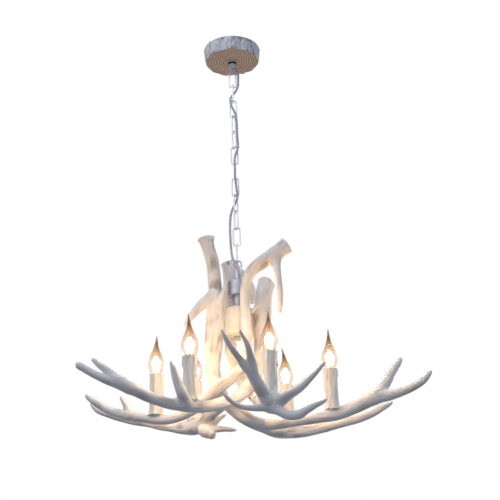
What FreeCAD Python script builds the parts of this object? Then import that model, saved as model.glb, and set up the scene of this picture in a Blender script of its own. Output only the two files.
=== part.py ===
import FreeCAD, Part
import Sketcher
import math
import os
from FreeCAD import Placement, Rotation, Vector

# Antler chandelier on a chain, real size in mm. The origin is on the lamp's axis at the ceiling,
# +Z up, and the six candles are seen from the -Y side in the photograph.

os.makedirs("parts", exist_ok=True)
doc = FreeCAD.newDocument("antler_chandelier")

SIZES = [
    # alias, value, what it is
    ("fit", 0.1, "radial clearance of a pin, screw or tube in its hole"),
    ("joint_gap", 0.3, "free space between two chain links at rest"),
    ("bracket_length", 104, "ceiling bracket"),
    ("bracket_width", 18, ""),
    ("bracket_thickness", 2, ""),
    ("bracket_drop", 8, "free height over the bracket's middle"),
    ("bracket_bridge", 76, "length of the dropped middle"),
    ("bracket_screw_spacing", 88, "between the two ceiling screws"),
    ("bracket_screw_radius", 2.75, ""),
    ("nipple_radius", 5, "M10 threaded tube"),
    ("nipple_bore", 3.5, ""),
    ("nut_circumradius", 9.5, "M10 lock nut"),
    ("nut_height", 4, ""),
    ("canopy_radius", 69, "at the ceiling"),
    ("canopy_bottom_radius", 65, ""),
    ("canopy_height", 33, ""),
    ("canopy_wall", 10, "bark and wood round the hollow"),
    ("canopy_floor", 11, "wood under the hollow"),
    ("collar_radius", 15, "white ring under the canopy"),
    ("collar_wall", 1.7, ""),
    ("collar_height", 4.5, ""),
    ("collar_web", 1.5, ""),
    ("loop_radius", 10.2, "loop holder that carries the chain"),
    ("loop_height", 15.5, ""),
    ("loop_drop", 12, "from the holder's lower face to the middle of the eye's lowest wire"),
    ("loop_wire", 4, "wire diameter of the two eyes"),
    ("eye_width", 18, "between the middles of an eye's side wires"),
    ("eye_height", 17, ""),
    ("block_length", 24, "terminal block, along the bracket"),
    ("block_width", 16, ""),
    ("block_height", 11, ""),
    ("terminal_screw_radius", 1.6, ""),
    ("link_wire", 3.6, "wire diameter of a chain link"),
    ("link_length", 45, "between the middles of a link's end wires"),
    ("link_width", 15.4, "between the middles of a link's side wires"),
    ("link_flat", 4, "straight stretch at each end of a link"),
    ("cable_radius", 2.75, ""),
    ("hub_drop", 49, "from the middle of the lower eye's top wire to the top of the cup"),
    ("hub_loop_radius", 8, ""),
    ("bushing_reach", 15.6, "from the lamp's axis to the cable bushing in the cup's top"),
    ("bushing_wall", 1, ""),
    ("cup_radius", 24, "wiring cup"),
    ("cup_height", 36, ""),
    ("cup_wall", 2, ""),
    ("stem_radius", 14, ""),
    ("stem_height", 29, ""),
    ("stem_wall", 2, ""),
    ("drum_radius", 32, "resin hub that the upright antlers are bolted to"),
    ("drum_height", 64, ""),
    ("drum_rib", 1.2, "how far the ribs round the drum's foot stand out"),
    ("drum_rib_height", 3.5, ""),
    ("pad_radius", 9, "boss between the drum and an antler"),
    ("pad_bite", 4, "how deep a boss is let into its antler"),
    ("washer_radius", 11, ""),
    ("washer_height", 1.5, ""),
    ("antler_span", 767, "between the tips furthest left and right"),
    ("core_radius", 1.1, "one of the cable's three cores"),
    ("screw_radius", 3, "M6 screws that hold the antlers"),
    ("screw_head_radius", 5, ""),
    ("screw_head_height", 4, ""),
    ("sleeve_radius", 14.4, "candle sleeve"),
    ("sleeve_wall", 1.8, ""),
    ("sleeve_height", 92, ""),
    ("sleeve_foot", 16.6, "radius of the wax drips round the foot"),
    ("sleeve_foot_height", 9, ""),
    ("seat_depth", 2.5, "how deep a candle's seat is cut into its antler"),
    ("candle_nipple_depth", 13, "how deep the threaded tube stands in the antler"),
    ("holder_radius", 12, "E14 lamp holder"),
    ("holder_height", 56, ""),
    ("holder_drop", 6, "from the top of the sleeve to the top of the holder"),
    ("socket_depth", 29, ""),
    ("cap_radius", 6.9, "E14 lamp cap"),
    ("cap_height", 24, ""),
    ("contact_radius", 3.5, ""),
    ("contact_height", 2, ""),
    ("bulb_radius", 17.5, "flame bulb at its widest"),
    ("bulb_length", 93, "glass"),
    ("glass_wall", 0.9, ""),
]

sheet = doc.addObject("Spreadsheet::Sheet", "Sizes")
for row, (alias, value, note) in enumerate(SIZES, start=1):
    sheet.set(f"A{row}", str(value))
    sheet.setAlias(f"A{row}", alias)
    sheet.set(f"B{row}", note)
doc.recompute()


class Size:
    """A length in mm, with the spreadsheet expression that it comes from."""

    def __init__(self, value, text):
        self.value, self.text = value, text

    def __add__(self, other):
        other = sized(other)
        return Size(self.value + other.value, f"({self.text} + {other.text})")

    def __sub__(self, other):
        other = sized(other)
        return Size(self.value - other.value, f"({self.text} - {other.text})")

    def __mul__(self, other):
        other = sized(other)
        return Size(self.value * other.value, f"({self.text} * {other.text})")

    def __truediv__(self, other):
        other = sized(other)
        return Size(self.value / other.value, f"({self.text} / {other.text})")

    def __neg__(self):
        return Size(-self.value, f"(0 - {self.text})")

    __radd__ = __add__

    def __rsub__(self, other):
        return sized(other) - self


def sized(value):
    return value if isinstance(value, Size) else Size(float(value), str(value))


def size(alias):
    return Size(float(sheet.get(alias)), f"Sizes.{alias}")


def bind(obj, prop, value):
    obj.setExpression(prop, sized(value).text)


def put(obj, x=0, y=0, z=0, rotation=None):
    """Places an object; each coordinate may be a Size."""
    x, y, z = sized(x), sized(y), sized(z)
    obj.Placement = Placement(Vector(x.value, y.value, z.value), rotation or Rotation())
    for axis, value in zip("xyz", (x, y, z)):
        bind(obj, f"Placement.Base.{axis}", value)
    return obj


def turned(label, profile, z=0, x=0, y=0):
    """A body turned about its own Z axis. profile lists its (radius, height) corners in order."""
    body = doc.addObject("PartDesign::Body", label)
    sketch = body.newObject("Sketcher::SketchObject", f"{label}_profile")
    plane = next(f for f in body.Origin.OriginFeatures if f.Role == "XZ_Plane")
    sketch.AttachmentSupport = (plane, [""])
    sketch.MapMode = "FlatFace"
    corners = [(sized(r), sized(h)) for r, h in profile]
    points = [Vector(r.value, h.value, 0) for r, h in corners]
    count = len(points)
    for i in range(count):
        sketch.addGeometry(Part.LineSegment(points[i], points[(i + 1) % count]), False)
    for i in range(count):
        sketch.addConstraint(Sketcher.Constraint("Coincident", i, 2, (i + 1) % count, 1))
    for i, (radius, height) in enumerate(corners):
        for kind, value, axis in (("DistanceX", radius, -2), ("DistanceY", height, -1)):
            if value.value == 0:
                sketch.addConstraint(Sketcher.Constraint("PointOnObject", i, 1, axis))
            else:
                at = sketch.addConstraint(Sketcher.Constraint(kind, -1, 1, i, 1, value.value))
                bind(sketch, f"Constraints[{at}]", value)
    revolution = body.newObject("PartDesign::Revolution", f"{label}_turn")
    revolution.Profile = sketch
    revolution.ReferenceAxis = (sketch, ["V_Axis"])
    revolution.Angle = 360
    body.Tip = revolution
    return put(body, x, y, z)


class Spot:
    """A point whose three coordinates are Sizes."""

    def __init__(self, x, y, z):
        self.x, self.y, self.z = sized(x), sized(y), sized(z)

    def point(self):
        return Vector(self.x.value, self.y.value, self.z.value)

    def moved(self, direction, distance):
        distance = sized(distance)
        return Spot(self.x + distance * direction.x, self.y + distance * direction.y,
                    self.z + distance * direction.z)


def rod(name, radius, height, x=0, y=0, z=0, rotation=None):
    made = doc.addObject("Part::Cylinder", name)
    bind(made, "Radius", radius)
    bind(made, "Height", height)
    return put(made, x, y, z, rotation)


def block(name, length, width, height, x=0, y=0, z=0):
    """A box centred on x and y, standing on z."""
    made = doc.addObject("Part::Box", name)
    bind(made, "Length", length)
    bind(made, "Width", width)
    bind(made, "Height", height)
    return put(made, sized(x) - sized(length) / 2, sized(y) - sized(width) / 2, z)


def rod_from(name, radius, spot, direction, height):
    """A rod that starts at a spot and runs in a direction."""
    return rod(name, radius, height, spot.x, spot.y, spot.z, Rotation(Vector(0, 0, 1), direction))


def hexagon(name, circumradius, height, x=0, y=0, z=0):
    made = doc.addObject("Part::Prism", name)
    made.Polygon = 6
    bind(made, "Circumradius", circumradius)
    bind(made, "Height", height)
    return put(made, x, y, z)


def fused(name, shapes):
    made = doc.addObject("Part::MultiFuse", name)
    made.Shapes = shapes
    return made


def cut(name, base, tools):
    made = doc.addObject("Part::Cut", name)
    made.Base = base
    made.Tool = tools[0] if len(tools) == 1 else fused(f"{name}_tools", tools)
    return made


def group(name, shapes):
    """Separate solids of one kind, kept together."""
    made = doc.addObject("Part::Compound", name)
    made.Links = shapes
    return made


def wire_ring(name, wire, length, width, flat):
    """A closed ring of round wire in the XZ plane about the origin: straight sides, and ends with
    a straight stretch between two quarter bends."""
    radius = wire / 2
    bend = (width - flat) / 2
    side = length - bend * 2
    pieces = []
    for i, sign in enumerate((1, -1)):
        x = width / 2 if sign > 0 else -(width / 2)
        pieces.append(rod(f"{name}_side_{i}", radius, side, x, 0, -(side / 2)))
        z = length / 2 if sign > 0 else -(length / 2)
        across = Rotation(Vector(0, 1, 0), 90)
        pieces.append(rod(f"{name}_end_{i}", radius, flat, -(flat / 2), 0, z, across))
    corners = [(1, 1, 0), (-1, 1, 90), (-1, -1, 180), (1, -1, 270)]
    for i, (sx, sz, start) in enumerate(corners):
        elbow = doc.addObject("Part::Torus", f"{name}_bend_{i}")
        bind(elbow, "Radius1", bend)
        bind(elbow, "Radius2", radius)
        elbow.Angle3 = 90
        x = flat / 2 if sx > 0 else -(flat / 2)
        z = side / 2 if sz > 0 else -(side / 2)
        # the torus lies about Z: stand it up in the XZ plane, then turn it to its corner
        stand = Rotation(Vector(1, 0, 0), 90)
        put(elbow, x, 0, z, Rotation(Vector(0, -1, 0), start).multiply(stand))
        pieces.append(elbow)
    return fused(name, pieces)


# ---- sizes used by more than one section
fit, joint_gap = size("fit"), size("joint_gap")
nipple_radius, nipple_bore = size("nipple_radius"), size("nipple_bore")
loop_wire, link_wire = size("loop_wire"), size("link_wire")
cable_radius = size("cable_radius")
canopy_height = size("canopy_height")
pieces = {}

# ---- ceiling bracket: a bent steel strap with a foot at each end for the ceiling screws and a
# dropped bridge with the lamp's threaded tube in its middle
strap_thickness, strap_width = size("bracket_thickness"), size("bracket_width")
bridge, strap_drop = size("bracket_bridge"), size("bracket_drop")
foot_length = (size("bracket_length") - bridge) / 2 + strap_thickness
bridge_bottom = -(strap_drop + strap_thickness)
strap = [block("strap_bridge", bridge, strap_width, strap_thickness, z=bridge_bottom)]
holes = [rod("strap_middle_hole", nipple_radius + fit, strap_thickness * 3, z=bridge_bottom - 2)]
for i, sign in enumerate((-1, 1)):
    wall_x = (bridge - strap_thickness) / 2 * sign
    foot_x = (size("bracket_length") - foot_length) / 2 * sign
    strap.append(block(f"strap_wall_{i}", strap_thickness, strap_width, strap_drop + strap_thickness,
                       wall_x, 0, bridge_bottom))
    strap.append(block(f"strap_foot_{i}", foot_length, strap_width, strap_thickness, foot_x, 0,
                       -strap_thickness))
    holes.append(rod(f"strap_hole_{i}", size("bracket_screw_radius"), strap_thickness * 3,
                     size("bracket_screw_spacing") / 2 * sign, 0, -strap_thickness * 2))
pieces["ceiling_bracket"] = cut("ceiling_bracket", fused("strap", strap), holes)

# ---- threaded tube: from the bracket, through the canopy and into the loop holder
collar_web = size("collar_web")
loop_top = -(canopy_height + collar_web)
nipple_foot = 4
nipple_length = nipple_foot - loop_top - strap_drop + 1.5
pieces["threaded_nipple"] = turned("threaded_nipple", [
    (nipple_bore, 0), (nipple_radius, 0), (nipple_radius, nipple_length), (nipple_bore, nipple_length),
], z=loop_top - nipple_foot)

nut_height = size("nut_height")
canopy_floor = size("canopy_floor")
nuts = []
for i, z in enumerate((bridge_bottom - nut_height, canopy_floor - canopy_height)):
    nut = hexagon(f"lock_nut_body_{i}", size("nut_circumradius"), nut_height, z=z)
    bore = rod(f"lock_nut_bore_{i}", nipple_radius + fit, nut_height * 3, z=z - nut_height)
    nuts.append(cut(f"lock_nut_{i}", nut, [bore]))
pieces["nipple_lock_nuts"] = group("nipple_lock_nuts", nuts)

# ---- canopy: a hollowed slice of a trunk
canopy_radius, canopy_bottom = size("canopy_radius"), size("canopy_bottom_radius")
canopy_wall = size("canopy_wall")
pieces["canopy"] = turned("canopy", [
    (nipple_radius + fit, 0),
    (canopy_bottom - 1.5, 0),
    (canopy_bottom, 1.5),
    ((canopy_bottom + canopy_radius * 2) / 3, canopy_height * 0.55),
    (canopy_radius, canopy_height),
    (canopy_bottom - canopy_wall, canopy_height),
    (canopy_bottom - canopy_wall, canopy_floor),
    (nipple_radius + fit, canopy_floor),
], z=-canopy_height)

# ---- white ring under the canopy, and the holder whose eye carries the chain
collar_radius, collar_height = size("collar_radius"), size("collar_height")
collar_inner = collar_radius - size("collar_wall")
pieces["canopy_collar"] = turned("canopy_collar", [
    (nipple_radius + fit, collar_height - collar_web),
    (collar_inner, collar_height - collar_web),
    (collar_inner, 0),
    (collar_radius, 0),
    (collar_radius, collar_height),
    (nipple_radius + fit, collar_height),
], z=-canopy_height - collar_height)

loop_radius, loop_height, loop_drop = size("loop_radius"), size("loop_height"), size("loop_drop")
eye_height, eye_width, link_flat = size("eye_height"), size("eye_width"), size("link_flat")
loop_bottom = loop_top - loop_height
upper_pivot = loop_bottom - loop_drop
holder = rod("loop_holder_body", loop_radius, loop_height, z=loop_bottom)
upper_eye = wire_ring("upper_eye", loop_wire, eye_height, eye_width, link_flat)
put(upper_eye, 0, 0, upper_pivot + eye_height / 2, Rotation(Vector(0, 0, 1), 90))
tube_seat = rod("loop_tube_seat", nipple_radius + fit, nipple_foot + 6, z=loop_top - nipple_foot - 6)
cable_slope = Vector(12.5, 0, -16.5)
cable_exit = rod_from("loop_cable_exit", cable_radius + 1.4, Spot(0, 0, loop_top - 6.5), cable_slope, 24)
pieces["canopy_loop"] = cut("canopy_loop", fused("loop_and_eye", [holder, upper_eye]),
                            [tube_seat, cable_exit])

# ---- terminal block under the bracket, with its screws and the earth screw
block_length, block_width, block_height = size("block_length"), size("block_width"), size("block_height")
terminal_screw, core_radius = size("terminal_screw_radius"), size("core_radius")
block_x = -(size("nut_circumradius") + block_length / 2 + 2)
block_z = bridge_bottom - block_height
pole_x = [block_x + block_length * share for share in (0.33, 0, -0.33)]
core_z = block_z + block_height * 0.5
terminal_body = block("terminal_body", block_length, block_width, block_height, block_x, 0, block_z)
wire_holes, screw_holes, screws = [], [], []
for i, x in enumerate(pole_x):
    start = Spot(x, -block_width, core_z)
    wire_holes.append(rod_from(f"wire_hole_{i}", core_radius + 0.4, start, Vector(0, 1, 0), block_width * 2))
    for j, side in enumerate((-0.3, 0.3)):
        y = block_width * side
        screw_holes.append(rod(f"screw_hole_{i}_{j}", terminal_screw + fit, 3, x, y, block_z - 1))
        screws.append(rod(f"terminal_screw_{i}_{j}", terminal_screw, 1.8, x, y, block_z + 0.2))
screws.append(rod("earth_screw", terminal_screw * 1.6, 3, size("nut_circumradius") + 8, 0, bridge_bottom - 3))
pieces["terminal_block"] = cut("terminal_block", terminal_body, wire_holes + screw_holes)
pieces["terminal_screws"] = group("terminal_screws", screws)

# ---- chain: twelve links, each turned about the chain's line as the photograph shows it
LINK_TURNS = [0, 90, 0, 60, 120, 180, 90, 0, 60, 120, 180, 90]
link_length = size("link_length")
pitch = link_length - link_wire - joint_gap
first_top = upper_pivot + loop_wire / 2 + link_wire / 2 + joint_gap
for i, turn in enumerate(LINK_TURNS):
    label = f"chain_link_{i + 1:02d}"
    ring = wire_ring(f"link_{i + 1}", link_wire, link_length, size("link_width"), link_flat)
    middle = first_top - link_length / 2 - pitch * i
    pieces[label] = put(ring, 0, 0, middle, Rotation(Vector(0, 0, 1), turn))
last_pivot = first_top - link_length - pitch * (len(LINK_TURNS) - 1)

# ---- hub: eye, wiring cup, stem, resin drum and the threaded rod that clamps them
hub_drop, hub_loop_radius = size("hub_drop"), size("hub_loop_radius")
cup_radius, cup_height, cup_wall = size("cup_radius"), size("cup_height"), size("cup_wall")
stem_radius, stem_height, stem_wall = size("stem_radius"), size("stem_height"), size("stem_wall")
drum_radius, drum_height = size("drum_radius"), size("drum_height")
lower_eye_top = last_pivot + link_wire / 2 + loop_wire / 2 + joint_gap
cup_top = lower_eye_top - hub_drop
cup_bottom = cup_top - cup_height
drum_top = cup_bottom - stem_height
drum_bottom = drum_top - drum_height
drum_middle = drum_top - drum_height / 2

lower_eye = wire_ring("lower_eye", loop_wire, eye_height, eye_width, link_flat)
put(lower_eye, 0, 0, lower_eye_top - eye_height / 2)
neck_height = hub_drop - eye_height + loop_wire / 2 - 3
neck = rod("hub_loop_neck", hub_loop_radius, neck_height, z=cup_top + 3)
flange = rod("hub_loop_flange", hub_loop_radius + 2, 3, z=cup_top)
rod_seat = rod("hub_loop_thread", nipple_radius + fit, 20, z=cup_top - 1)
pieces["hub_loop"] = cut("hub_loop", fused("hub_loop_body", [lower_eye, neck, flange]), [rod_seat])

bushing_radius = cable_radius + fit + size("bushing_wall")
bushing_x, bushing_y = size("bushing_reach") * 0.452, -size("bushing_reach") * 0.892
cup = turned("cup_shell", [
    (cup_radius - cup_wall, 0),
    (cup_radius - 1, 0),
    (cup_radius, 1),
    (cup_radius, cup_height - 2.5),
    (cup_radius - 2.5, cup_height),
    (nipple_radius + fit, cup_height),
    (nipple_radius + fit, cup_height - cup_wall),
    (cup_radius - cup_wall, cup_height - cup_wall),
], z=cup_bottom)
bushing_hole = rod("cup_cable_hole", bushing_radius + fit, cup_wall * 4, bushing_x, bushing_y,
                   cup_top - cup_wall * 2)
pieces["wiring_cup"] = cut("wiring_cup", cup, [bushing_hole])

pieces["cable_bushing"] = turned("cable_bushing", [
    (cable_radius + fit, 0),
    (bushing_radius, 0),
    (bushing_radius, cup_wall + 1),
    (bushing_radius + 0.9, cup_wall + 1),
    (bushing_radius + 0.9, cup_wall + 2.5),
    (cable_radius + fit, cup_wall + 2.5),
], z=cup_top - cup_wall - 1, x=bushing_x, y=bushing_y)

# the stem's flange closes the cup from below
pieces["hub_stem"] = turned("hub_stem", [
    (stem_radius - stem_wall, 0),
    (stem_radius, 0),
    (stem_radius, stem_height),
    (cup_radius - cup_wall - fit, stem_height),
    (cup_radius - cup_wall - fit, stem_height + cup_wall),
    (nipple_radius + fit, stem_height + cup_wall),
    (nipple_radius + fit, stem_height),
    (stem_radius - stem_wall, stem_height - stem_wall),
], z=drum_top)

washer_radius, washer_height = size("washer_radius"), size("washer_height")
nut_room = nut_height + washer_height + 1
rib, rib_height = size("drum_rib"), size("drum_rib_height")
drum_profile = [(nipple_radius + fit, nut_room), (washer_radius + 1, nut_room), (washer_radius + 1, 0)]
for i in range(3):
    z = rib_height * 1.3 * i
    drum_profile += [(drum_radius + rib - 1, z), (drum_radius + rib, z + 1)]
    drum_profile += [(drum_radius + rib, z + rib_height - 1), (drum_radius, z + rib_height)]
drum_profile += [(drum_radius, drum_height - 4), (drum_radius - 4, drum_height)]
drum_profile += [(nipple_radius + fit, drum_height)]
drum = turned("hub_drum_turned", drum_profile, z=drum_bottom)

rod_top = cup_top + 17
rod_foot = drum_bottom + 0.5
pieces["hub_rod"] = turned("hub_rod", [
    (0, 0), (nipple_radius - 0.5, 0), (nipple_radius, 0.5), (nipple_radius, rod_top - rod_foot), (0, rod_top - rod_foot),
], z=rod_foot)
washer = rod("rod_washer_disc", washer_radius, washer_height, z=drum_bottom + nut_room - washer_height)
washer_hole = rod("rod_washer_hole", nipple_radius + fit, washer_height * 3,
                  z=drum_bottom + nut_room - washer_height * 2)
nut = hexagon("rod_nut_body", size("nut_circumradius"), nut_height,
              z=drum_bottom + nut_room - washer_height - nut_height)
nut_hole = rod("rod_nut_hole", nipple_radius + fit, nut_height * 3,
               z=drum_bottom + nut_room - washer_height - nut_height * 2)
pieces["rod_nut_and_washer"] = group("rod_nut_and_washer", [
    cut("rod_washer", washer, [washer_hole]), cut("rod_nut", nut, [nut_hole]),
])

# ---- antlers. Each branch is a list of rounds (x, y, height above the drum's middle, radius),
# from its thick end to its tip. The first branch is the beam, and the others grow out of it.
SPAN_AS_LISTED = 767
ANTLERS = {
    "antler_right": [
        [(-70, -14, 199, 17.5), (-69, -14, 196, 18.5), (-68, -13, 188, 16), (-64, -12, 174, 15),
         (-58, -8, 153, 14.5), (-54, -4, 128, 14.5), (-52, 0, 100, 15), (-51, 0, 70, 16),
         (-51, 0, 37, 18), (-53, 0, -3, 20.5), (-57, 0, -42, 20.5), (-60, -2, -76, 18.5),
         (-59, -4, -108, 16), (-53, -5, -138, 15), (-41, -5, -165, 14.5), (-24, -4, -187, 14),
         (-3, 0, -205, 14.5), (18, 0, -219, 14.5), (43, 0, -228, 12.5), (75, 1, -229, 11),
         (113, 3, -224, 10.5), (156, 4, -218, 11.8), (195, 4, -212, 12.8), (230, 4, -202, 14),
         (261, 2, -189, 15.5), (289, -2, -178, 15), (316, -8, -176, 12), (341, -16, -172, 10),
         (367, -24, -164, 9), (388, -30, -153, 7.5), (402, -33, -139, 5.5), (408, -34, -132, 3)],
        [(-59, -4, 62, 13), (-78, -18, 41, 12), (-94, -30, 20, 9.5), (-104, -40, 3, 7), (-117, -52, -23, 3)],
        [(-47, -7, 34, 10), (-42, -15, 46, 7.5), (-36, -19, 58, 6), (-30, -21, 74, 4.5), (-27, -22, 88, 3.5),
         (-25, -22, 96, 2)],
        [(284, -2, -176, 14), (309, 4, -151, 12), (329, 12, -120, 9.5), (346, 20, -97, 7), (354, 24, -85, 3)],
    ],
    "antler_left": [
        [(112, -62, 156, 16.5), (106, -62, 152, 17.5), (90, -60, 141, 16), (69, -58, 127, 15.8),
         (50, -56, 116, 15), (34, -52, 104, 13.5), (21, -47, 85, 12),
         (16, -42, 57, 11.5), (15, -40, 21, 11.5), (15, -40, -18, 12), (17, -41, -55, 12.5),
         (17, -42, -86, 13), (7, -42, -112, 13), (-20, -39, -134, 13), (-48, -34, -155, 13),
         (-79, -23, -177, 13), (-109, -14, -197, 12), (-144, -7, -210, 11), (-183, -1, -210, 10.5),
         (-223, 9, -201, 9.7), (-261, 22, -190, 10), (-299, 40, -171, 9.5), (-322, 46, -155, 8.5),
         (-338, 49, -143, 6), (-345, 50, -137, 3)],
        [(84, -60, 132, 14), (87, -64, 112, 9.5), (89, -68, 90, 7.3), (91, -70, 66, 6.5), (92, -72, 39, 6.5),
         (91, -72, 14, 5.5), (88, -72, -5, 3)],
        [(-237, 14, -197, 8), (-246, 15, -180, 7), (-252, 14, -169, 5.5), (-258, 13, -159, 4), (-263, 12, -151, 2)],
    ],
    "antler_near_left": [
        [(65, 38, 106, 16.5), (63, 36, 102, 18.5), (60, 32, 92, 17.5), (58, 26, 77, 17),
         (54, 14, 47, 19), (51, 4, 8, 20.5), (51, 2, -29, 20), (48, 0, -68, 18.5),
         (40, -6, -104, 16.5), (26, -17, -135, 15), (6, -37, -165, 14), (-18, -66, -189, 13),
         (-46, -98, -206, 13), (-72, -138, -218, 12.7), (-98, -164, -222, 13), (-136, -187, -222, 11.5),
         (-178, -204, -211, 11), (-212, -218, -195, 12), (-234, -225, -186, 12), (-255, -231, -182, 9),
         (-278, -238, -172, 7.5), (-297, -241, -161, 7.5), (-310, -243, -153, 7), (-315, -243, -148, 4.5)],
        [(60, 26, 86, 13), (55, 10, 67, 10.5), (47, -7, 47, 7.5), (38, -20, 28, 5), (28, -29, 11, 2)],
        [(-214, -219, -196, 8), (-232, -225, -182, 9.5), (-247, -229, -170, 8.7), (-259, -232, -160, 7.5), (-272, -236, -151, 5.8),
         (-281, -238, -143, 4.5), (-286, -239, -140, 3)],
        [(-104, -171, -221, 12), (-111, -191, -207, 11.5), (-117, -195, -191, 10.5), (-123, -198, -174, 8.5),
         (-128, -200, -156, 6.5), (-132, -201, -143, 3.5), (-133, -202, -139, 2)],
    ],
    "antler_near_right": [
        [(-21, 61, 167, 16), (-20, 61, 162, 19.5), (-18, 60, 150, 19), (-16, 58, 130, 19.5),
         (-16, 52, 99, 19), (-18, 45, 60, 17), (-19, 42, 16, 15), (-21, 41, -26, 13.5),
         (-19, 40, -61, 13.5), (-11, 37, -92, 13), (2, 30, -124, 13), (17, 18, -149, 13),
         (31, -13, -172, 13.5), (43, -70, -194, 13.5), (53, -134, -214, 15), (64, -178, -226, 17.5),
         (81, -191, -224, 14), (99, -206, -217, 10.5), (121, -219, -207, 8.5), (138, -229, -194, 7),
         (155, -237, -180, 5), (167, -242, -168, 3.5), (172, -245, -164, 2)],
        [(64, -180, -232, 12), (78, -190, -245, 9.5), (97, -196, -255, 9.5), (117, -201, -256, 9),
         (132, -206, -249, 7.5), (148, -211, -242, 6), (162, -216, -237, 4.5), (173, -220, -231, 2)],
        [(60, -182, -233, 10.5), (39, -192, -238, 7.5), (22, -201, -240, 6), (4, -210, -238, 5.5),
         (-11, -218, -232, 5), (-22, -225, -223, 4.5), (-29, -230, -213, 2)],
        [(60, -182, -225, 14), (46, -200, -208, 13.5), (35, -216, -189, 12.5), (26, -230, -174, 11),
         (14, -240, -164, 9), (3, -252, -150, 7.5), (-8, -264, -137, 6.5), (-17, -274, -124, 5.5),
         (-24, -282, -112, 3.5), (-28, -287, -104, 2)],
        [(-12, 60, 142, 17), (2, 63, 135, 15.5), (17, 66, 118, 13.5), (27, 66, 100, 11.5), (32, 64, 84, 9),
         (31, 61, 70, 6), (28, 59, 61, 3)],
        [(29, -228, -177, 9.5), (29, -244, -158, 8.5), (25, -256, -144, 7), (21, -266, -130, 5.5),
         (14, -275, -118, 4), (9, -282, -109, 3), (6, -286, -105, 2)],
    ],
    "antler_far_right": [
        [(-27, 25, -171, 12.5), (-22, 25, -177, 14.5), (-12, 26, -188, 14), (4, 30, -203, 14),
         (23, 44, -214, 13.5), (47, 72, -219, 13.5), (73, 114, -218, 15.5), (100, 162, -209, 17.5),
         (137, 184, -205, 15.5), (180, 196, -197, 12.5), (222, 206, -186, 11.5), (263, 213, -175, 10.5),
         (297, 217, -163, 9.5), (322, 219, -150, 8), (341, 220, -141, 5.5), (350, 220, -136, 3)],
    ],
    "antler_far_left": [
        [(-18, 36, -166, 9.5), (-33, 54, -167, 11.5), (-52, 74, -171, 12.5), (-75, 104, -181, 14.5),
         (-96, 144, -192, 17.5), (-110, 165, -192, 18.5), (-140, 186, -188, 16), (-176, 200, -181, 12),
         (-214, 206, -171, 11), (-252, 208, -163, 10.5), (-289, 208, -153, 10.5), (-320, 207, -143, 9.5),
         (-341, 206, -134, 8), (-354, 205, -123, 5), (-358, 205, -118, 3)],
        [(-68, 90, -229, 10), (-71, 93, -226, 12), (-79, 102, -219, 14), (-94, 130, -202, 14.5)],
        [(-85, 112, -214, 11), (-61, 112, -211, 8), (-41, 112, -211, 6), (-25, 112, -213, 5), (-14, 112, -214, 2)],
        [(-88, 118, -208, 11), (-68, 118, -198, 7), (-52, 117, -185, 5.5), (-41, 117, -177, 4), (-37, 117, -172, 2)],
    ],
}
# which beam round stands beside the drum's middle, by antler
UPRIGHTS = {"antler_right": 9, "antler_left": 8, "antler_near_left": 5, "antler_near_right": 6}
# which beam round carries a candle, by antler, and the way its bulb's bent tip points, in degrees
CANDLES = [
    ("antler_left", 18, 80),
    ("antler_near_left", 14, 250),
    ("antler_far_left", 5, 120),
    ("antler_near_right", 15, 95),
    ("antler_far_right", 7, 185),
    ("antler_right", 22, 265),
]
# screws where two beams cross: the antler with the head and its round, then the one with the thread
CROSSINGS = [
    ("antler_left", 14, "antler_right", 14),
    ("antler_far_right", 2, "antler_right", 16),
    ("antler_far_left", 1, "antler_far_right", 1),
    ("antler_near_right", 12, "antler_near_left", 9),
]
scale = size("antler_span") / SPAN_AS_LISTED


def antler_round(antler, index):
    """Centre and radius of one round of a beam, in the lamp's frame."""
    x, y, z, radius = ANTLERS[antler][0][index]
    return Spot(scale * x, scale * y, drum_middle + scale * z), scale * radius


def even_rounds(rounds, step):
    """Rounds at even steps along a smooth curve through the given ones. Each span is a cubic whose
    end slopes come from its neighbours, weighted by the root of the spans' lengths."""
    before = [2 * a - b for a, b in zip(rounds[0], rounds[1])]
    after = [2 * a - b for a, b in zip(rounds[-1], rounds[-2])]
    ends = [before] + list(rounds) + [after]
    curve = []
    for p, q, r, s in zip(ends, ends[1:], ends[2:], ends[3:]):
        u, v, w = (math.sqrt(math.dist(a[:3], b[:3])) for a, b in ((p, q), (q, r), (r, s)))
        for k in range(8):
            t = k / 8
            row = []
            for a, b, c, d in zip(p, q, r, s):
                leave = v * ((b - a) / u - (c - a) / (u + v) + (c - b) / v)
                arrive = v * ((c - b) / v - (d - b) / (v + w) + (d - c) / w)
                row.append(b * (1 + 2 * t) * (1 - t) ** 2 + leave * t * (1 - t) ** 2
                           + c * t * t * (3 - 2 * t) + arrive * t * t * (t - 1))
            curve.append(row)
    curve.append(list(rounds[-1]))
    reach = [0]
    for a, b in zip(curve, curve[1:]):
        reach.append(reach[-1] + math.dist(a[:3], b[:3]))
    count = max(3, round(reach[-1] / step))
    even, k = [], 0
    for i in range(count + 1):
        target = reach[-1] * i / count
        while k < len(reach) - 2 and reach[k + 1] < target:
            k += 1
        share = (target - reach[k]) / (reach[k + 1] - reach[k])
        even.append([a + (b - a) * share for a, b in zip(curve[k], curve[k + 1])])
    return even


def branch_solid(name, rounds, step):
    """A loft through rounds set square to the line through their centres."""
    rounds = even_rounds(rounds, step)
    centres = [Vector(x, y, z) for x, y, z, _ in rounds]
    across = Vector(0, 1, 0)
    circles = []
    for i, (x, y, z, radius) in enumerate(rounds):
        before, after = centres[max(i - 1, 0)], centres[min(i + 1, len(centres) - 1)]
        along = (after - before).normalize()
        across = (across - along * across.dot(along)).normalize()
        circle = doc.addObject("Part::Circle", f"{name}_{i}")
        bind(circle, "Radius", scale * radius)
        put(circle, scale * x, scale * y, drum_middle + scale * z, Rotation(across, Vector(), along, "ZXY"))
        circles.append(circle)
    loft = doc.addObject("Part::Loft", name)
    loft.Sections = circles
    loft.Solid = True
    loft.Ruled = False
    return loft


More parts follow.
